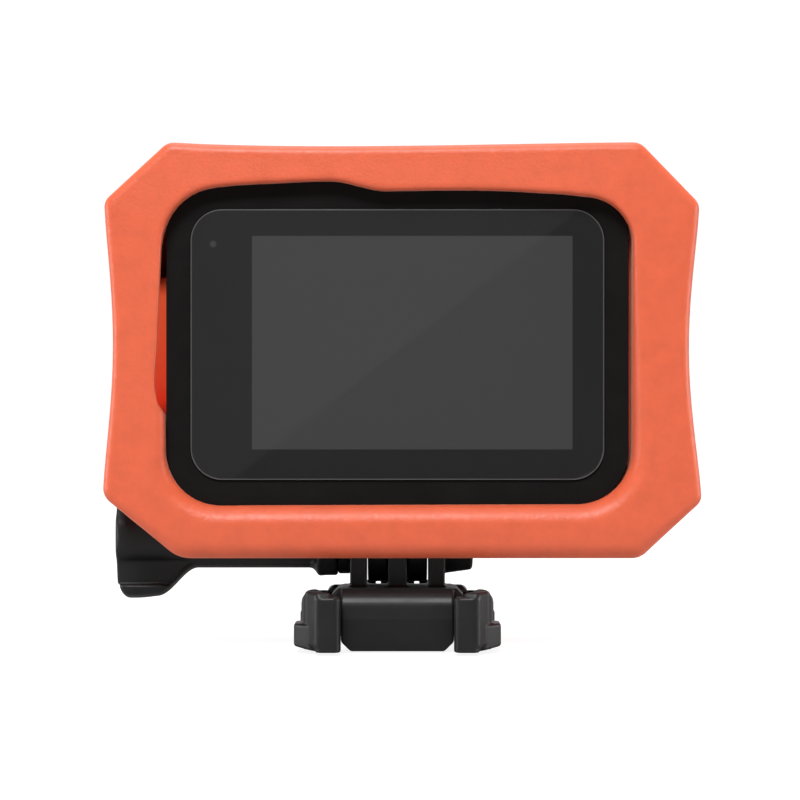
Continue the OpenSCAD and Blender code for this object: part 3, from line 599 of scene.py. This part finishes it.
ARM_OUTER, ARM_OUTER_ROUND, ARM_FALL = (5, 10.05), 2.3, 0.083
GRIP, GRIP_PLACE, GRIP_Z = (1.98, 1.6, 1.25), (10.66, -18), (4.55, 4.25)
BARB_Z, BARB_LIFT, BARB_LEAN, BARB_SCALE = (2.2, 2.25), 0.35, 0.16, 1.01  # scale as above
WEB = outline(arced(
    [(12.55, -13), (14.4, -14.6), (15.05, -11.4), (15.05, 9.4), (11.75, 9.4), (12.55, 6.2)],
    [0.5, 0.5, 3, 0, 0.3, 2]))
LINK = outline(arced(
    [(12.55, -11.5), (15, -11.5), (13.9, -16.2), (12.5, -19.3), (9.8, -18.8), (11.6, -15.6)],
    [1.5, 3, 2, 0.9, 0.6, 1.2]))
BARB = outline(arced(
    [(12.6, -8.8), (11.9, -17.4), (13.6, -16.9), (16.05, -14.2), (16.05, -9.6), (15, -8.8)],
    [0, 0.4, 1.5, 1.2, 0.6, 0.4]))


def arm_shape(p):
    """The right-hand latch arm: knuckle, springy web, wrapped-in grip and barb."""
    x, y, z = p
    top, base = ARM_HIGH[2], ARM_LOW[2]
    mid, half = (top + base) / 2, (top - base) / 2
    knuckle = np.hypot(x - ARM_PIVOT[0], y - ARM_PIVOT[1]) - KNUCKLE_R
    plan = join(WEB(x, y), knuckle, 0.4)
    web = slab(plan, z - mid, half, 0.35)
    # the top falls towards the knuckle, and its outer corner is rounded generously
    fall = ARM_FALL * np.maximum(y + 12, 0)
    outer = box2(x - ARM_OUTER[0], z, ARM_OUTER[1], top - fall, ARM_OUTER_ROUND)
    web = both(web, outer, 0.2)
    link = slab(LINK(x, y), z - mid - 0.4, half - 0.4, 0.55)
    grip = box2(x - GRIP_PLACE[0], y - GRIP_PLACE[1], *GRIP)
    grip = slab(grip, z - GRIP_Z[0], GRIP_Z[1], 0.4)
    arm = join(join(web, link, 0.6), grip, 0.5)
    under = (BARB_LIFT + BARB_LEAN * (x - 12.6) - z) / BARB_SCALE
    barb = both(slab(BARB(x, y), z - BARB_Z[0], BARB_Z[1], 0.45), under, 0.4)
    return both(join(arm, barb, 0.25), base - z, 0.2)


# ---------------------------------------------------------------- thumb screw

NECK_R, SWELL, WING_R = 5.22, 4.3, 10.05  # neck, what its end swells by, and the wing's tips
SWELL_START, SWELL_LENGTH, WING_START, WING_LENGTH = -31.9, 6.4, -35.5, 6.5
WING_HALF, WING_X, END_RIM, FACE_RIM = 4.6, -35.8, 1.5, 1.1
STEEPNESS = 0.72  # keeps the turned outline's distances from running ahead where it is steep
SCOOP_HALF, SCOOP_FLOOR, SCOOP_RIM, HUB_R = 7.7, 2.5, 0.75, 4.75
FLANGE_R, FLANGE_HALF, FLANGE_EDGE = 6.42, 1.55, 0.4
KNOB_BORE, KNOB_BORE_END = 2.52, -29.9


def knob_radius(x):
    """Half width of the knob seen from behind, from its neck out to the wing tips."""
    swell = (1 - np.cos(math.pi * np.clip((SWELL_START - x) / SWELL_LENGTH, 0, 1))) / 2
    wing = smooth((WING_START - x) / WING_LENGTH)
    return NECK_R + SWELL * swell + (WING_R - NECK_R - SWELL) * wing


def knob_shape(p):
    x, y, z = p
    z = z - AXIS_Z
    around = np.hypot(y, z)
    turned = (around - knob_radius(x)) * STEEPNESS
    end = KNOB_LOW[0] + 0.25 + 0.004 * around ** 2 + 0.3 * smooth((np.abs(z) - 7.5) / 0.35) - x
    start = KNOB_HIGH[0] - 2
    knob = both(turned, np.maximum(end, x - start), END_RIM)
    # wing: flat faces, with a scoop in each between the round hub and the thick rim
    thickness = WING_HALF + 7 * smooth((x - WING_X) / 4)
    knob = both(knob, np.abs(y) - thickness, FACE_RIM)
    rim = (np.abs(z) - knob_radius(x)) * STEEPNESS + SCOOP_RIM
    scoop = both(np.maximum(np.abs(z) - SCOOP_HALF, rim), SCOOP_FLOOR - np.abs(y), 0.3)
    scoop = both(scoop, HUB_R - around, 0.35)
    knob = cut(knob, scoop, 0.4)
    flange = slab(around - FLANGE_R, x - (KNOB_HIGH[0] - FLANGE_HALF), FLANGE_HALF, FLANGE_EDGE)
    knob = join(knob, flange, 1.5)
    return cut(knob, both(around - KNOB_BORE, KNOB_BORE_END - x), 0.2)


# ---------------------------------------------------------------- camera parts

FINGER_SHIFT, FINGER_SPARE, PIN_R = 0.03, 0.09, 0.76
COVER_CORNER, COVER_EDGE = 5.4, 1.3
GLASS_SEAT = (10.65, 10.65, 3.65)  # half width, half height and corner
BAYONET_R, BARREL_ROOM_R = 11.5, 9.8
RIB_FOOT, RIB_PITCH, RIB_COUNT = 4.2, 1.5, 6
RIB_HALF, RIB_SHORTER = (31.5, 0.42, 0.4), 0.55
RIB_HEIGHT, RIB_EDGE = 0.28, 0.22


def finger_shape(p):
    """One of the two folding fingers: a round tongue hung on a hinge barrel."""
    x, y, z = p
    low, high = FINGER_LOW, FINGER_HIGH
    mid_x, half_x = (low[0] + high[0]) / 2 + FINGER_SHIFT, (high[0] - low[0]) / 2 + FINGER_SPARE
    hinge_z = high[2] - (high[0] - low[0]) / 2
    tongue = np.where(z < AXIS_Z, np.hypot(y, z - AXIS_Z), np.abs(y)) - PRONG_R
    finger = slab(both(tongue, z - hinge_z), x - mid_x, half_x, 0.4)
    barrel = slab(np.hypot(x - mid_x, z - hinge_z) - half_x + FINGER_SPARE, y, PRONG_R, 0.3)
    finger = join(finger, barrel)
    finger = cut(finger, np.hypot(y, z - AXIS_Z) - SHAFT_BORE, BORE_RIM)
    return cut(finger, np.hypot(x - mid_x, z - hinge_z) - PIN_R)


def cover_shape(p):
    """Square lens cover with soft corners, stepped inside to seat its glass."""
    x, y, z = p
    x, z = x - LENS[0], z - LENS[2]
    low, high = COVER_LOW[1], COVER_HIGH[1]
    half = (COVER_HIGH[0] - COVER_LOW[0]) / 2
    mid_y, half_y = (low + high) / 2, (high - low) / 2
    around = np.hypot(x, z)
    cover = slab(box2(x, z, half, half, COVER_CORNER), y - mid_y, half_y, COVER_EDGE)
    cover = cut(cover, slab(box2(x, z, *GLASS_SEAT), y - high, 1.2), 0.35)
    cover = cut(cover, both(around - BARREL_ROOM_R, low - 1 - y))
    return cut(cover, slab(around - BAYONET_R, y - low, 2))


def rib_shape(p):
    """Low ribs on the lower part of the camera's front."""
    x, y, z = p
    low_z = BODY_MID_Z - BODY_HALF_H + RIB_FOOT
    row = np.clip(np.round((z - low_z) / RIB_PITCH), 0, RIB_COUNT - 1)
    half, half_height, corner = RIB_HALF
    half = half - RIB_SHORTER * (RIB_COUNT - 1 - row) * (row < 3)  # the lowest are shorter
    line = box2(x, z - low_z - row * RIB_PITCH, half, half_height, corner)
    return slab(line, y - FRONT_Y, RIB_HEIGHT, RIB_EDGE)


# ---------------------------------------------------------------- materials

def new_material(name):
    material = bpy.data.materials.new(name)
    material.use_nodes = True
    tree = material.node_tree
    return material, tree, tree.nodes["Principled BSDF"]


def link(tree, a, out, b, into):
    tree.links.new(a.outputs[out], b.inputs[into])


def compute(tree, kind, operation, *terms):
    """A Math or VectorMath node; each term is a (node, output) link, a number or a vector."""
    node = tree.nodes.new("ShaderNode" + kind)
    node.operation = operation
    for i, term in enumerate(terms):
        if isinstance(term, tuple) and isinstance(term[1], str):
            link(tree, *term, node, i)
        else:
            node.inputs[i].default_value = term
    return node


def coordinate(tree):
    """The place on the piece, in metres, as a link."""
    return tree.nodes.new("ShaderNodeTexCoord"), "Object"


def axes(tree, source, out):
    """The three axes of a vector, as the outputs of one node."""
    split = tree.nodes.new("ShaderNodeSeparateXYZ")
    link(tree, source, out, split, "Vector")
    return split


def noise(tree, size_mm, detail=4.0, rough=0.55):
    """Noise in object space whose features are about size_mm across."""
    node = tree.nodes.new("ShaderNodeTexNoise")
    node.inputs["Scale"].default_value = 1 / (size_mm * MM)
    node.inputs["Detail"].default_value = detail
    node.inputs["Roughness"].default_value = rough
    link(tree, *coordinate(tree), node, "Vector")
    return node


def cells(tree, size_mm):
    """Voronoi cells in object space about size_mm across."""
    node = tree.nodes.new("ShaderNodeTexVoronoi")
    node.inputs["Scale"].default_value = 1 / (size_mm * MM)
    link(tree, *coordinate(tree), node, "Vector")
    return node


def ramp(tree, source, out, stops):
    """A colour ramp from (position, colour) stops."""
    node = tree.nodes.new("ShaderNodeValToRGB")
    band = node.color_ramp
    while len(band.elements) < len(stops):
        band.elements.new(0.5)
    for element, (position, colour) in zip(band.elements, stops):
        element.position = position
        element.color = (*colour, 1)
    link(tree, source, out, node, "Fac")
    return node


def spread(tree, source, out, low, high, start=0.3, end=0.7):
    """Maps start..end of a source to low..high, and no further either way."""
    node = tree.nodes.new("ShaderNodeMapRange")
    node.inputs["From Min"].default_value = start
    node.inputs["From Max"].default_value = end
    node.inputs["To Min"].default_value = low
    node.inputs["To Max"].default_value = high
    link(tree, source, out, node, "Value")
    return node


def colour_by(tree, shader, source, out, stops):
    """Colours the surface by a ramp."""
    link(tree, ramp(tree, source, out, stops), "Color", shader, "Base Color")


def roughen(tree, shader, source, low, high):
    """Varies the roughness with a noise."""
    link(tree, spread(tree, source, "Fac", low, high), "Result", shader, "Roughness")


def bump(tree, shader, layers):
    """Stacks bumps on the shader's normal: (source, output, depth in mm, strength)."""
    below = None
    for source, out, depth_mm, strength in layers:
        node = tree.nodes.new("ShaderNodeBump")
        node.inputs["Distance"].default_value = depth_mm * MM
        node.inputs["Strength"].default_value = strength
        link(tree, source, out, node, "Height")
        if below:
            link(tree, below, "Normal", node, "Normal")
        below = node
    link(tree, below, "Normal", shader, "Normal")


def tint(colour, factor):
    """The colour made darker or lighter."""
    return tuple(min(1, c * factor) for c in colour)


# the painted glow: axis, where it has faded to nothing, and where it is full, in millimetres
GLOW_LIMITS = [("X", -42.8, -39.8), ("X", -34.5, -35.2), ("Y", -12, -10), ("Y", 10, 8),
               ("Z", 36.5, 39), ("Z", 58.3, 55.8)]
GLOW_STRENGTH = 0.38
GLOW_FOOT, GLOW_TOP = 40, 56  # heights between which the colours below run
GLOW_COLOURS = [(0.0, (1, 0.045, 0.014)), (1.0, (1, 0.13, 0.04))]


def painted_hole_glow(tree, shader):
    """Painted glow: emission that lights the inside of the finger hole red, standing in for light
    that soaks through its thin walls and bounces round inside it.
    """
    split = axes(tree, *coordinate(tree))
    glow = GLOW_STRENGTH
    for axis, none, full in GLOW_LIMITS:
        ease = spread(tree, split, axis, 0, 1, none * MM, full * MM)
        glow = (compute(tree, "Math", "MULTIPLY", glow, (ease, "Result")), "Value")
    link(tree, *glow, shader, "Emission Strength")
    height = spread(tree, split, "Z", 0, 1, GLOW_FOOT * MM, GLOW_TOP * MM)
    link(tree, ramp(tree, height, "Result", GLOW_COLOURS), "Color", shader, "Emission Color")


def foam_material():
    """Closed-cell foam: soft blotches, a fine skin and pores, with a painted red glow inside the
    finger hole.
    """
    colour = (0.8, 0.132, 0.054)
    material, tree, shader = new_material("foam")
    blotch = noise(tree, 3.2, 7, 0.6)
    stops = [(0.3, tint(colour, 0.94)), (0.5, colour), (0.72, tint(colour, 1.06))]
    colour_by(tree, shader, blotch, "Fac", stops)
    fine = noise(tree, 0.6, 4)
    roughen(tree, shader, fine, 0.38, 0.5)
    pores = cells(tree, 0.42)
    bump(tree, shader, [(blotch, "Fac", 0.12, 0.3), (fine, "Fac", 0.1, 0.4),
                        (pores, "Distance", 0.05, 0.4)])
    shader.inputs["Specular IOR Level"].default_value = 0.5
    shader.inputs["Sheen Weight"].default_value = 0.2
    shader.inputs["Sheen Roughness"].default_value = 0.3
    shader.inputs["Sheen Tint"].default_value = (1, 0.85, 0.75, 1)
    # painted glow: emission standing in for light inside the finger hole
    painted_hole_glow(tree, shader)
    return material


def moulded_material(name, colour, roughness, grain_mm=0.16, relief_mm=0.012, strength=0.5,
                     shine=0.4):
    """Spark-eroded plastic: even colour broken by a faint mottle, with a fine grain."""
    material, tree, shader = new_material(name)
    mottle = noise(tree, 5, 4)
    stops = [(0.3, tint(colour, 0.88)), (0.7, tint(colour, 1.12))]
    colour_by(tree, shader, mottle, "Fac", stops)
    roughen(tree, shader, mottle, roughness - 0.05, roughness + 0.05)
    grain = noise(tree, grain_mm, 2)
    bump(tree, shader, [(grain, "Fac", relief_mm, strength)])
    shader.inputs["Specular IOR Level"].default_value = shine
    return material


def metal_material(name, colour, roughness, brush_mm=0.12):
    """Metal with a fine grain."""
    material, tree, shader = new_material(name)
    shader.inputs["Metallic"].default_value = 1.0
    grain = noise(tree, brush_mm, 3)
    stops = [(0.3, tint(colour, 0.9)), (0.7, colour)]
    colour_by(tree, shader, noise(tree, 2, 3), "Fac", stops)
    roughen(tree, shader, grain, roughness - 0.06, roughness + 0.08)
    bump(tree, shader, [(grain, "Fac", 0.006, 0.35)])
    return material


def rubber_material(name, colour):
    return moulded_material(name, colour, 0.7, 0.3, 0.02, 0.4)


def board_material():
    """Solder mask over copper tracks."""
    material, tree, shader = new_material("board")
    tracks = cells(tree, 1.4)
    stops = [(0.05, (0.012, 0.11, 0.055)), (0.12, (0.006, 0.062, 0.034))]
    colour_by(tree, shader, tracks, "Distance", stops)
    roughen(tree, shader, noise(tree, 3), 0.25, 0.42)
    bump(tree, shader, [(tracks, "Distance", 0.03, 0.3)])
    return material


def glass_black(name, colour, roughness=0.06):
    """Glass with a black print behind it, and faint smears on it."""
    material, tree, shader = new_material(name)
    smear = noise(tree, 14, 6, 0.65)
    stops = [(0.3, tint(colour, 0.94)), (0.7, tint(colour, 1.06))]
    colour_by(tree, shader, smear, "Fac", stops)
    roughen(tree, shader, smear, roughness - 0.02, roughness + 0.04)
    shader.inputs["IOR"].default_value = 1.5
    return material


def window_distance(tree, centre, half, r):
    """Distance in metres from a rounded rectangle of the XZ plane, plus its corner radius r."""
    centre = (centre[0] * MM, 0, centre[1] * MM)
    half = ((half[0] - r) * MM, 1, (half[1] - r) * MM)
    shift = compute(tree, "VectorMath", "SUBTRACT", coordinate(tree), centre)
    size = compute(tree, "VectorMath", "ABSOLUTE", (shift, "Vector"))
    beyond = compute(tree, "VectorMath", "SUBTRACT", (size, "Vector"), half)
    corner = compute(tree, "VectorMath", "MAXIMUM", (beyond, "Vector"), (0, 0, 0))
    outside = compute(tree, "VectorMath", "LENGTH", (corner, "Vector"))
    split = axes(tree, beyond, "Vector")
    larger = compute(tree, "Math", "MAXIMUM", (split, "X"), (split, "Z"))
    inside = compute(tree, "Math", "MINIMUM", (larger, "Value"), 0)
    return compute(tree, "Math", "ADD", (outside, "Value"), (inside, "Value"))


def window_mask(tree, centre, half, r, edge_mm):
    """1 inside a rounded rectangle of the XZ plane, fading to 0 over edge_mm."""
    away = window_distance(tree, centre, half, r)
    return spread(tree, away, "Value", 1, 0, r * MM, (r + edge_mm) * MM)


def spot_mask(tree, centre, radius, edge_mm=0.15):
    """1 inside a round spot of the XZ plane, fading to 0 over edge_mm."""
    flat = compute(tree, "VectorMath", "MULTIPLY", coordinate(tree), (1, 0, 1))
    away = compute(tree, "VectorMath", "DISTANCE", (flat, "Vector"),
                   (centre[0] * MM, 0, centre[1] * MM))
    return spread(tree, away, "Value", 1, 0, radius * MM, (radius + edge_mm) * MM)


COLOUR_A, COLOUR_B, COLOUR_OUT = 6, 7, 2  # a Mix node's sockets for colours


def mix(tree, mask, mask_out, under, under_out, over_colour):
    """The colour under, with over_colour laid on it where the mask is 1."""
    node = tree.nodes.new("ShaderNodeMix")
    node.data_type = "RGBA"
    link(tree, mask, mask_out, node, "Factor")
    link(tree, under, under_out, node, COLOUR_A)
    node.inputs[COLOUR_B].default_value = (*over_colour, 1)
    return node


def screen_material():
    """Rear glass: black print, a window over the switched-off display, and a painted highlight: a
    lighter line round its rim.
    """
    material, tree, shader = new_material("cover_glass")
    smear = noise(tree, 18, 6, 0.6)
    black = ramp(tree, smear, "Fac", [(0.3, (0.0195, 0.0195, 0.0198)),
                                      (0.7, (0.0215, 0.0215, 0.0218))])
    panel = ((PANEL_LOW + PANEL_HIGH) / 2)[[0, 2]]
    half = ((PANEL_HIGH - PANEL_LOW) / 2)[[0, 2]] - (0.7, 1.2)
    window = window_mask(tree, panel, half, 0.15, 0.12)
    shown = mix(tree, window, "Result", black, "Color", (0.054, 0.054, 0.055))
    dot = spot_mask(tree, middle("status_light")[[0, 2]], 0.3, 0.35)
    shown = mix(tree, dot, "Result", shown, COLOUR_OUT, (0.052, 0.052, 0.054))
    # painted highlight: a thin lighter line round the glass's edge, where its bevel would catch the
    # light
    glass = ((GLASS_LOW + GLASS_HIGH) / 2)[[0, 2]]
    half = ((GLASS_HIGH - GLASS_LOW) / 2)[[0, 2]]
    face = window_mask(tree, glass, half - 0.22, 4.68, 0.06)
    rim = compute(tree, "Math", "SUBTRACT", 1, (face, "Result"))
    shown = mix(tree, rim, "Value", shown, COLOUR_OUT, (0.085, 0.085, 0.086))
    link(tree, shown, COLOUR_OUT, shader, "Base Color")
    roughen(tree, shader, smear, 0.012, 0.03)
    shader.inputs["IOR"].default_value = 1.5
    return material


def lens_material(name, colour, tinted):
    """Lens glass, nearly black, with a coating whose hue shifts towards the rim."""
    material, tree, shader = new_material(name)
    coating = spot_mask(tree, middle("front_element")[[0, 2]], 1.5, 6.0)
    colour_by(tree, shader, coating, "Result", [(0.0, tinted), (1.0, colour)])
    roughen(tree, shader, noise(tree, 6, 6), 0.05, 0.09)
    shader.inputs["Specular IOR Level"].default_value = 0.3
    shader.inputs["Specular Tint"].default_value = (0.62, 0.6, 1, 1)
    return material


def clear_material():
    """Thin clear cover glass, drawn as a faint film so that the lens shows through."""
    material, tree, shader = new_material("clear_glass")
    dust = noise(tree, 9, 6)
    stops = [(0.3, (0.010, 0.011, 0.013)), (0.7, (0.014, 0.015, 0.018))]
    colour_by(tree, shader, dust, "Fac", stops)
    roughen(tree, shader, dust, 0.02, 0.05)
    shader.inputs["Specular IOR Level"].default_value = 0.0
    shader.inputs["Alpha"].default_value = 0.25
    return material


MATERIALS = {
    "foam": foam_material(),
    "casing": moulded_material("casing", (0.0064, 0.0059, 0.0057), 0.5, shine=0.13),
    "trim": moulded_material("trim", (0.010, 0.010, 0.0105), 0.36, 0.12),
    "cover_glass": screen_material(),
    "front_glass": glass_black("front_glass", (0.010, 0.010, 0.011)),
    "display": glass_black("display", (0.02, 0.02, 0.021), 0.2),
    "light_guide": moulded_material("light_guide", (0.2, 0.2, 0.2), 0.25),
    "lens_glass": clear_material(),
    "front_element": lens_material("front_element", (0.004, 0.005, 0.012), (0.03, 0.012, 0.05)),
    "seal": rubber_material("seal", (0.05, 0.05, 0.052)),
    "steel": metal_material("steel", (0.6, 0.6, 0.61), 0.3),
    "chip": moulded_material("chip", (0.012, 0.012, 0.013), 0.5, 0.1),
    "board": board_material(),
    "brass_cans": metal_material("brass_cans", (0.75, 0.56, 0.26), 0.3),
    "spreader": metal_material("spreader", (0.8, 0.8, 0.81), 0.38),
    "cell": moulded_material("cell", (0.03, 0.07, 0.16), 0.3, 0.4),
    "mount_plastic": moulded_material("mount_plastic", (0.0135, 0.0135, 0.014), 0.43, 0.22,
                                      0.012, 0.35, 0.42),
}


# ---------------------------------------------------------------- pieces

def finish_piece(piece, material, body, slot, *replaced):
    """Gives a new piece its material and body, and hides the CAD nodes that it stands for; slot is
    not used.
    """
    piece.data.materials.clear()
    piece.data.materials.append(MATERIALS[material])
    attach(piece, body)
    if replaced:
        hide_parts(*replaced)


# plates whose flat faces are joined first, so that no sliver at their corners shades wrongly
FLAT_PLATES = ("front_window", "lens_cover_glass")


def soften(node, width_mm, material):
    """Rounds the edges of a CAD node that stays, and gives it its material."""
    piece = NODES[node]
    piece.data.materials.clear()
    piece.data.materials.append(MATERIALS[material])
    weld = piece.modifiers.new("weld", "WELD")
    weld.merge_threshold = 0.004 * MM
    if node in FLAT_PLATES:
        flat = piece.modifiers.new("flat", "DECIMATE")
        flat.decimate_type = "DISSOLVE"
        flat.angle_limit = math.radians(1)
    bevel = piece.modifiers.new("round", "BEVEL")
    bevel.width = width_mm * MM
    bevel.segments = 2
    bevel.limit_method = "ANGLE"
    bevel.angle_limit = math.radians(35)
    normals = piece.modifiers.new("normals", "WEIGHTED_NORMAL")
    normals.keep_sharp = False
    piece.data.polygons.foreach_set("use_smooth", [True] * len(piece.data.polygons))


foam = moulded("foam_float", float_shape, FLOAT_LOW, FLOAT_HIGH, 0.5)
finish_piece(foam, "foam", "camera", "foam", "float_frame")

buckle = moulded("buckle", buckle_shape, BUCKLE_LOW, BUCKLE_HIGH, 0.24)
finish_piece(buckle, "mount_plastic", "buckle", "mount_plastic", "buckle_body")

right_arm, left_arm = moulded("latch_right_arm", arm_shape, ARM_LOW, ARM_HIGH, 0.2,
                              "latch_left_arm")
finish_piece(right_arm, "mount_plastic", "latch_right", "mount_plastic", "latch_arm_right")
finish_piece(left_arm, "mount_plastic", "latch_left", "mount_plastic", "latch_arm_left")

knob = moulded("wing_knob", knob_shape, KNOB_LOW, KNOB_HIGH, 0.25)
finish_piece(knob, "mount_plastic", "thumb_screw", "mount_plastic", "thumb_knob")

right_finger, left_finger = moulded("fold_finger_right", finger_shape, FINGER_LOW, FINGER_HIGH,
                                    0.22, "fold_finger_left")
finish_piece(right_finger, "mount_plastic", "camera", "mount_plastic", "finger_right")
finish_piece(left_finger, "mount_plastic", "camera", "mount_plastic", "finger_left")

cover = moulded("lens_cover", cover_shape, COVER_LOW, COVER_HIGH, 0.25)
finish_piece(cover, "casing", "lens_cover", "casing", "lens_cover_frame")

ribs = moulded("front_ribs", rib_shape, (-32, FRONT_Y - 0.3, SHELL_LOW[2] + 3),
               (32, FRONT_Y + 0.3, SHELL_LOW[2] + 14), 0.16)
finish_piece(ribs, "trim", "camera", "casing")

SOFTENED = [  # width of the rounding in millimetres, material and nodes
    (0.35, "casing", ["rear_bezel", "body_shell"]),
    (0.2, "casing", ["side_door"]),
    (0.2, "trim", ["door_latch", "lens_collar", "lens_barrel", "lens_retainer"]),
    (0.35, "trim", ["shutter_button", "mode_button"]),
    (0.3, "cover_glass", ["screen_glass"]),
    (0.15, "front_glass", ["front_window"]),
    (0.1, "display", ["display_panel", "front_display"]),
    (0.1, "lens_glass", ["lens_cover_glass"]),
    (0.1, "front_element", ["front_element", "rear_element"]),
    (0.05, "light_guide", ["status_light"]),
    (0.08, "seal", ["case_gasket", "door_seal", "lens_seal"]),
    (0.06, "steel", ["case_screws", "hinge_pins", "card_slot", "usb_port", "screw_shaft"]),
    (0.25, "steel", ["captive_nut"]),
    (0.08, "chip", ["image_sensor", "processor", "speaker", "shutter_switch", "mode_switch",
                    "memory_card", "battery_tray"]),
    (0.06, "board", ["main_board", "sensor_board"]),
    (0.08, "brass_cans", ["microphones"]),
    (0.08, "spreader", ["heat_spreader"]),
    (0.4, "cell", ["battery"]),
    (0.3, "mount_plastic", ["thrust_washer"]),
]
for width, material, names in SOFTENED:
    for name in names:
        soften(name, width, material)


# ---------------------------------------------------------------- stage

FLOOR_NEAR, FLOOR_FAR, FLOOR_HALF, FLOOR_GAP = -0.55, 6, 5, 0.0002
FLOOR_SHADES = [(0.3, (0.3, 0.3, 0.3)), (0.7, (0.32, 0.32, 0.32))]


def floor():
    """Pale floor, kept short in front so that the screen does not mirror it."""
    mesh = bpy.data.meshes.new("floor")
    corners = [(-FLOOR_HALF, FLOOR_NEAR, 0), (FLOOR_HALF, FLOOR_NEAR, 0),
               (FLOOR_HALF, FLOOR_FAR, 0), (-FLOOR_HALF, FLOOR_FAR, 0)]
    mesh.from_pydata(corners, [], [(0, 1, 2, 3)])
    piece = bpy.data.objects.new("floor", mesh)
    bpy.context.scene.collection.objects.link(piece)
    piece.location.z = CAD_BOX[0][2] - FLOOR_GAP
    material, tree, shader = new_material("floor")
    colour_by(tree, shader, noise(tree, 90, 3), "Fac", FLOOR_SHADES)
    shader.inputs["Emission Color"].default_value = (1, 1, 1, 1)
    path = tree.nodes.new("ShaderNodeLightPath")
    seen = spread(tree, path, "Is Camera Ray", 0, 0.85, 0, 1)
    bounced = spread(tree, path, "Is Diffuse Ray", 0.03, 0.35, 0, 1)
    glow = compute(tree, "Math", "ADD", (seen, "Result"), (bounced, "Result"))
    link(tree, glow, "Value", shader, "Emission Strength")
    shader.inputs["Roughness"].default_value = 0.9
    shader.inputs["Specular IOR Level"].default_value = 0.1
    mesh.materials.append(material)


def area_light(name, place, target, size, power):
    """A square soft light that faces the target."""
    data = bpy.data.lights.new(name, "AREA")
    data.shape = "RECTANGLE"
    data.size = size
    data.size_y = size
    data.energy = power
    lamp = bpy.data.objects.new(name, data)
    lamp.location = place
    aim = Vector(target) - Vector(place)
    lamp.rotation_euler = aim.to_track_quat("-Z", "Y").to_euler()
    lamp.visible_camera = False
    bpy.context.scene.collection.objects.link(lamp)
    return lamp


def world():
    """White surroundings: bright behind the object, dimmer in front and below."""
    scene = bpy.context.scene
    scene.world = bpy.data.worlds.new("studio")
    scene.world.use_nodes = True
    tree = scene.world.node_tree
    tree.nodes.clear()
    output = tree.nodes.new("ShaderNodeOutputWorld")
    seen = tree.nodes.new("ShaderNodeBackground")
    seen.inputs["Strength"].default_value = 1.05
    fill = tree.nodes.new("ShaderNodeBackground")
    split = axes(tree, tree.nodes.new("ShaderNodeTexCoord"), "Generated")
    behind = spread(tree, split, "Y", 0.07, 1.0, -0.2, 0.9)
    above = spread(tree, split, "Z", 0.4, 1.0, -0.4, 0.15)
    strength = compute(tree, "Math", "MULTIPLY", (behind, "Result"), (above, "Result"))
    link(tree, strength, "Value", fill, "Strength")
    for node in (seen, fill):
        node.inputs["Color"].default_value = (1, 1, 1, 1)
    path = tree.nodes.new("ShaderNodeLightPath")
    blend = tree.nodes.new("ShaderNodeMixShader")
    link(tree, path, "Is Camera Ray", blend, "Fac")
    link(tree, fill, "Background", blend, 1)
    link(tree, seen, "Background", blend, 2)
    link(tree, blend, "Shader", output, "Surface")


EYE_X, EYE_HEIGHT, EYE_DISTANCE = 0.0004, 0.0390, 0.370
FOCAL_LENGTH, SENSOR = 108.2, 36


def camera():
    """The photograph's viewpoint: square on to the screen from behind, level."""
    data = bpy.data.cameras.new("camera")
    data.lens = FOCAL_LENGTH
    data.sensor_width = SENSOR
    data.clip_start = 0.01
    data.clip_end = 50
    eye = bpy.data.objects.new("camera", data)
    eye.location = (EYE_X, FLOAT_LOW[1] * MM - EYE_DISTANCE, EYE_HEIGHT)
    eye.rotation_euler = (math.radians(90), 0, 0)
    bpy.context.scene.collection.objects.link(eye)
    bpy.context.scene.camera = eye


CENTRE = (0, 0, 0.045)
LIGHTS = [  # name, place, side and power
    ("key", (-0.14, -0.78, 0.84), 0.44, 11.0),
    ("top", (0.0, 0.1, 0.8), 0.5, 2.5),
    ("left", (-0.7, -0.05, 0.07), 0.3, 2.3),
    ("right", (0.7, -0.05, 0.09), 0.3, 2.3),
]
CARD_X, CARD_Z, CARD_SLANT = -0.1016, 0.2418, 38

floor()
world()
for name, place, size, power in LIGHTS:
    area_light(name, place, CENTRE, size, power)
# a dim card far behind the viewer, set slantwise, whose edge crosses the glass
card = area_light("card", (CARD_X, -1, CARD_Z), (CARD_X, 0, CARD_Z), 0.4, 0.07)
card.rotation_euler = (math.radians(90), math.radians(-CARD_SLANT), 0)
camera()
bpy.context.scene.view_settings.view_transform = "Standard"
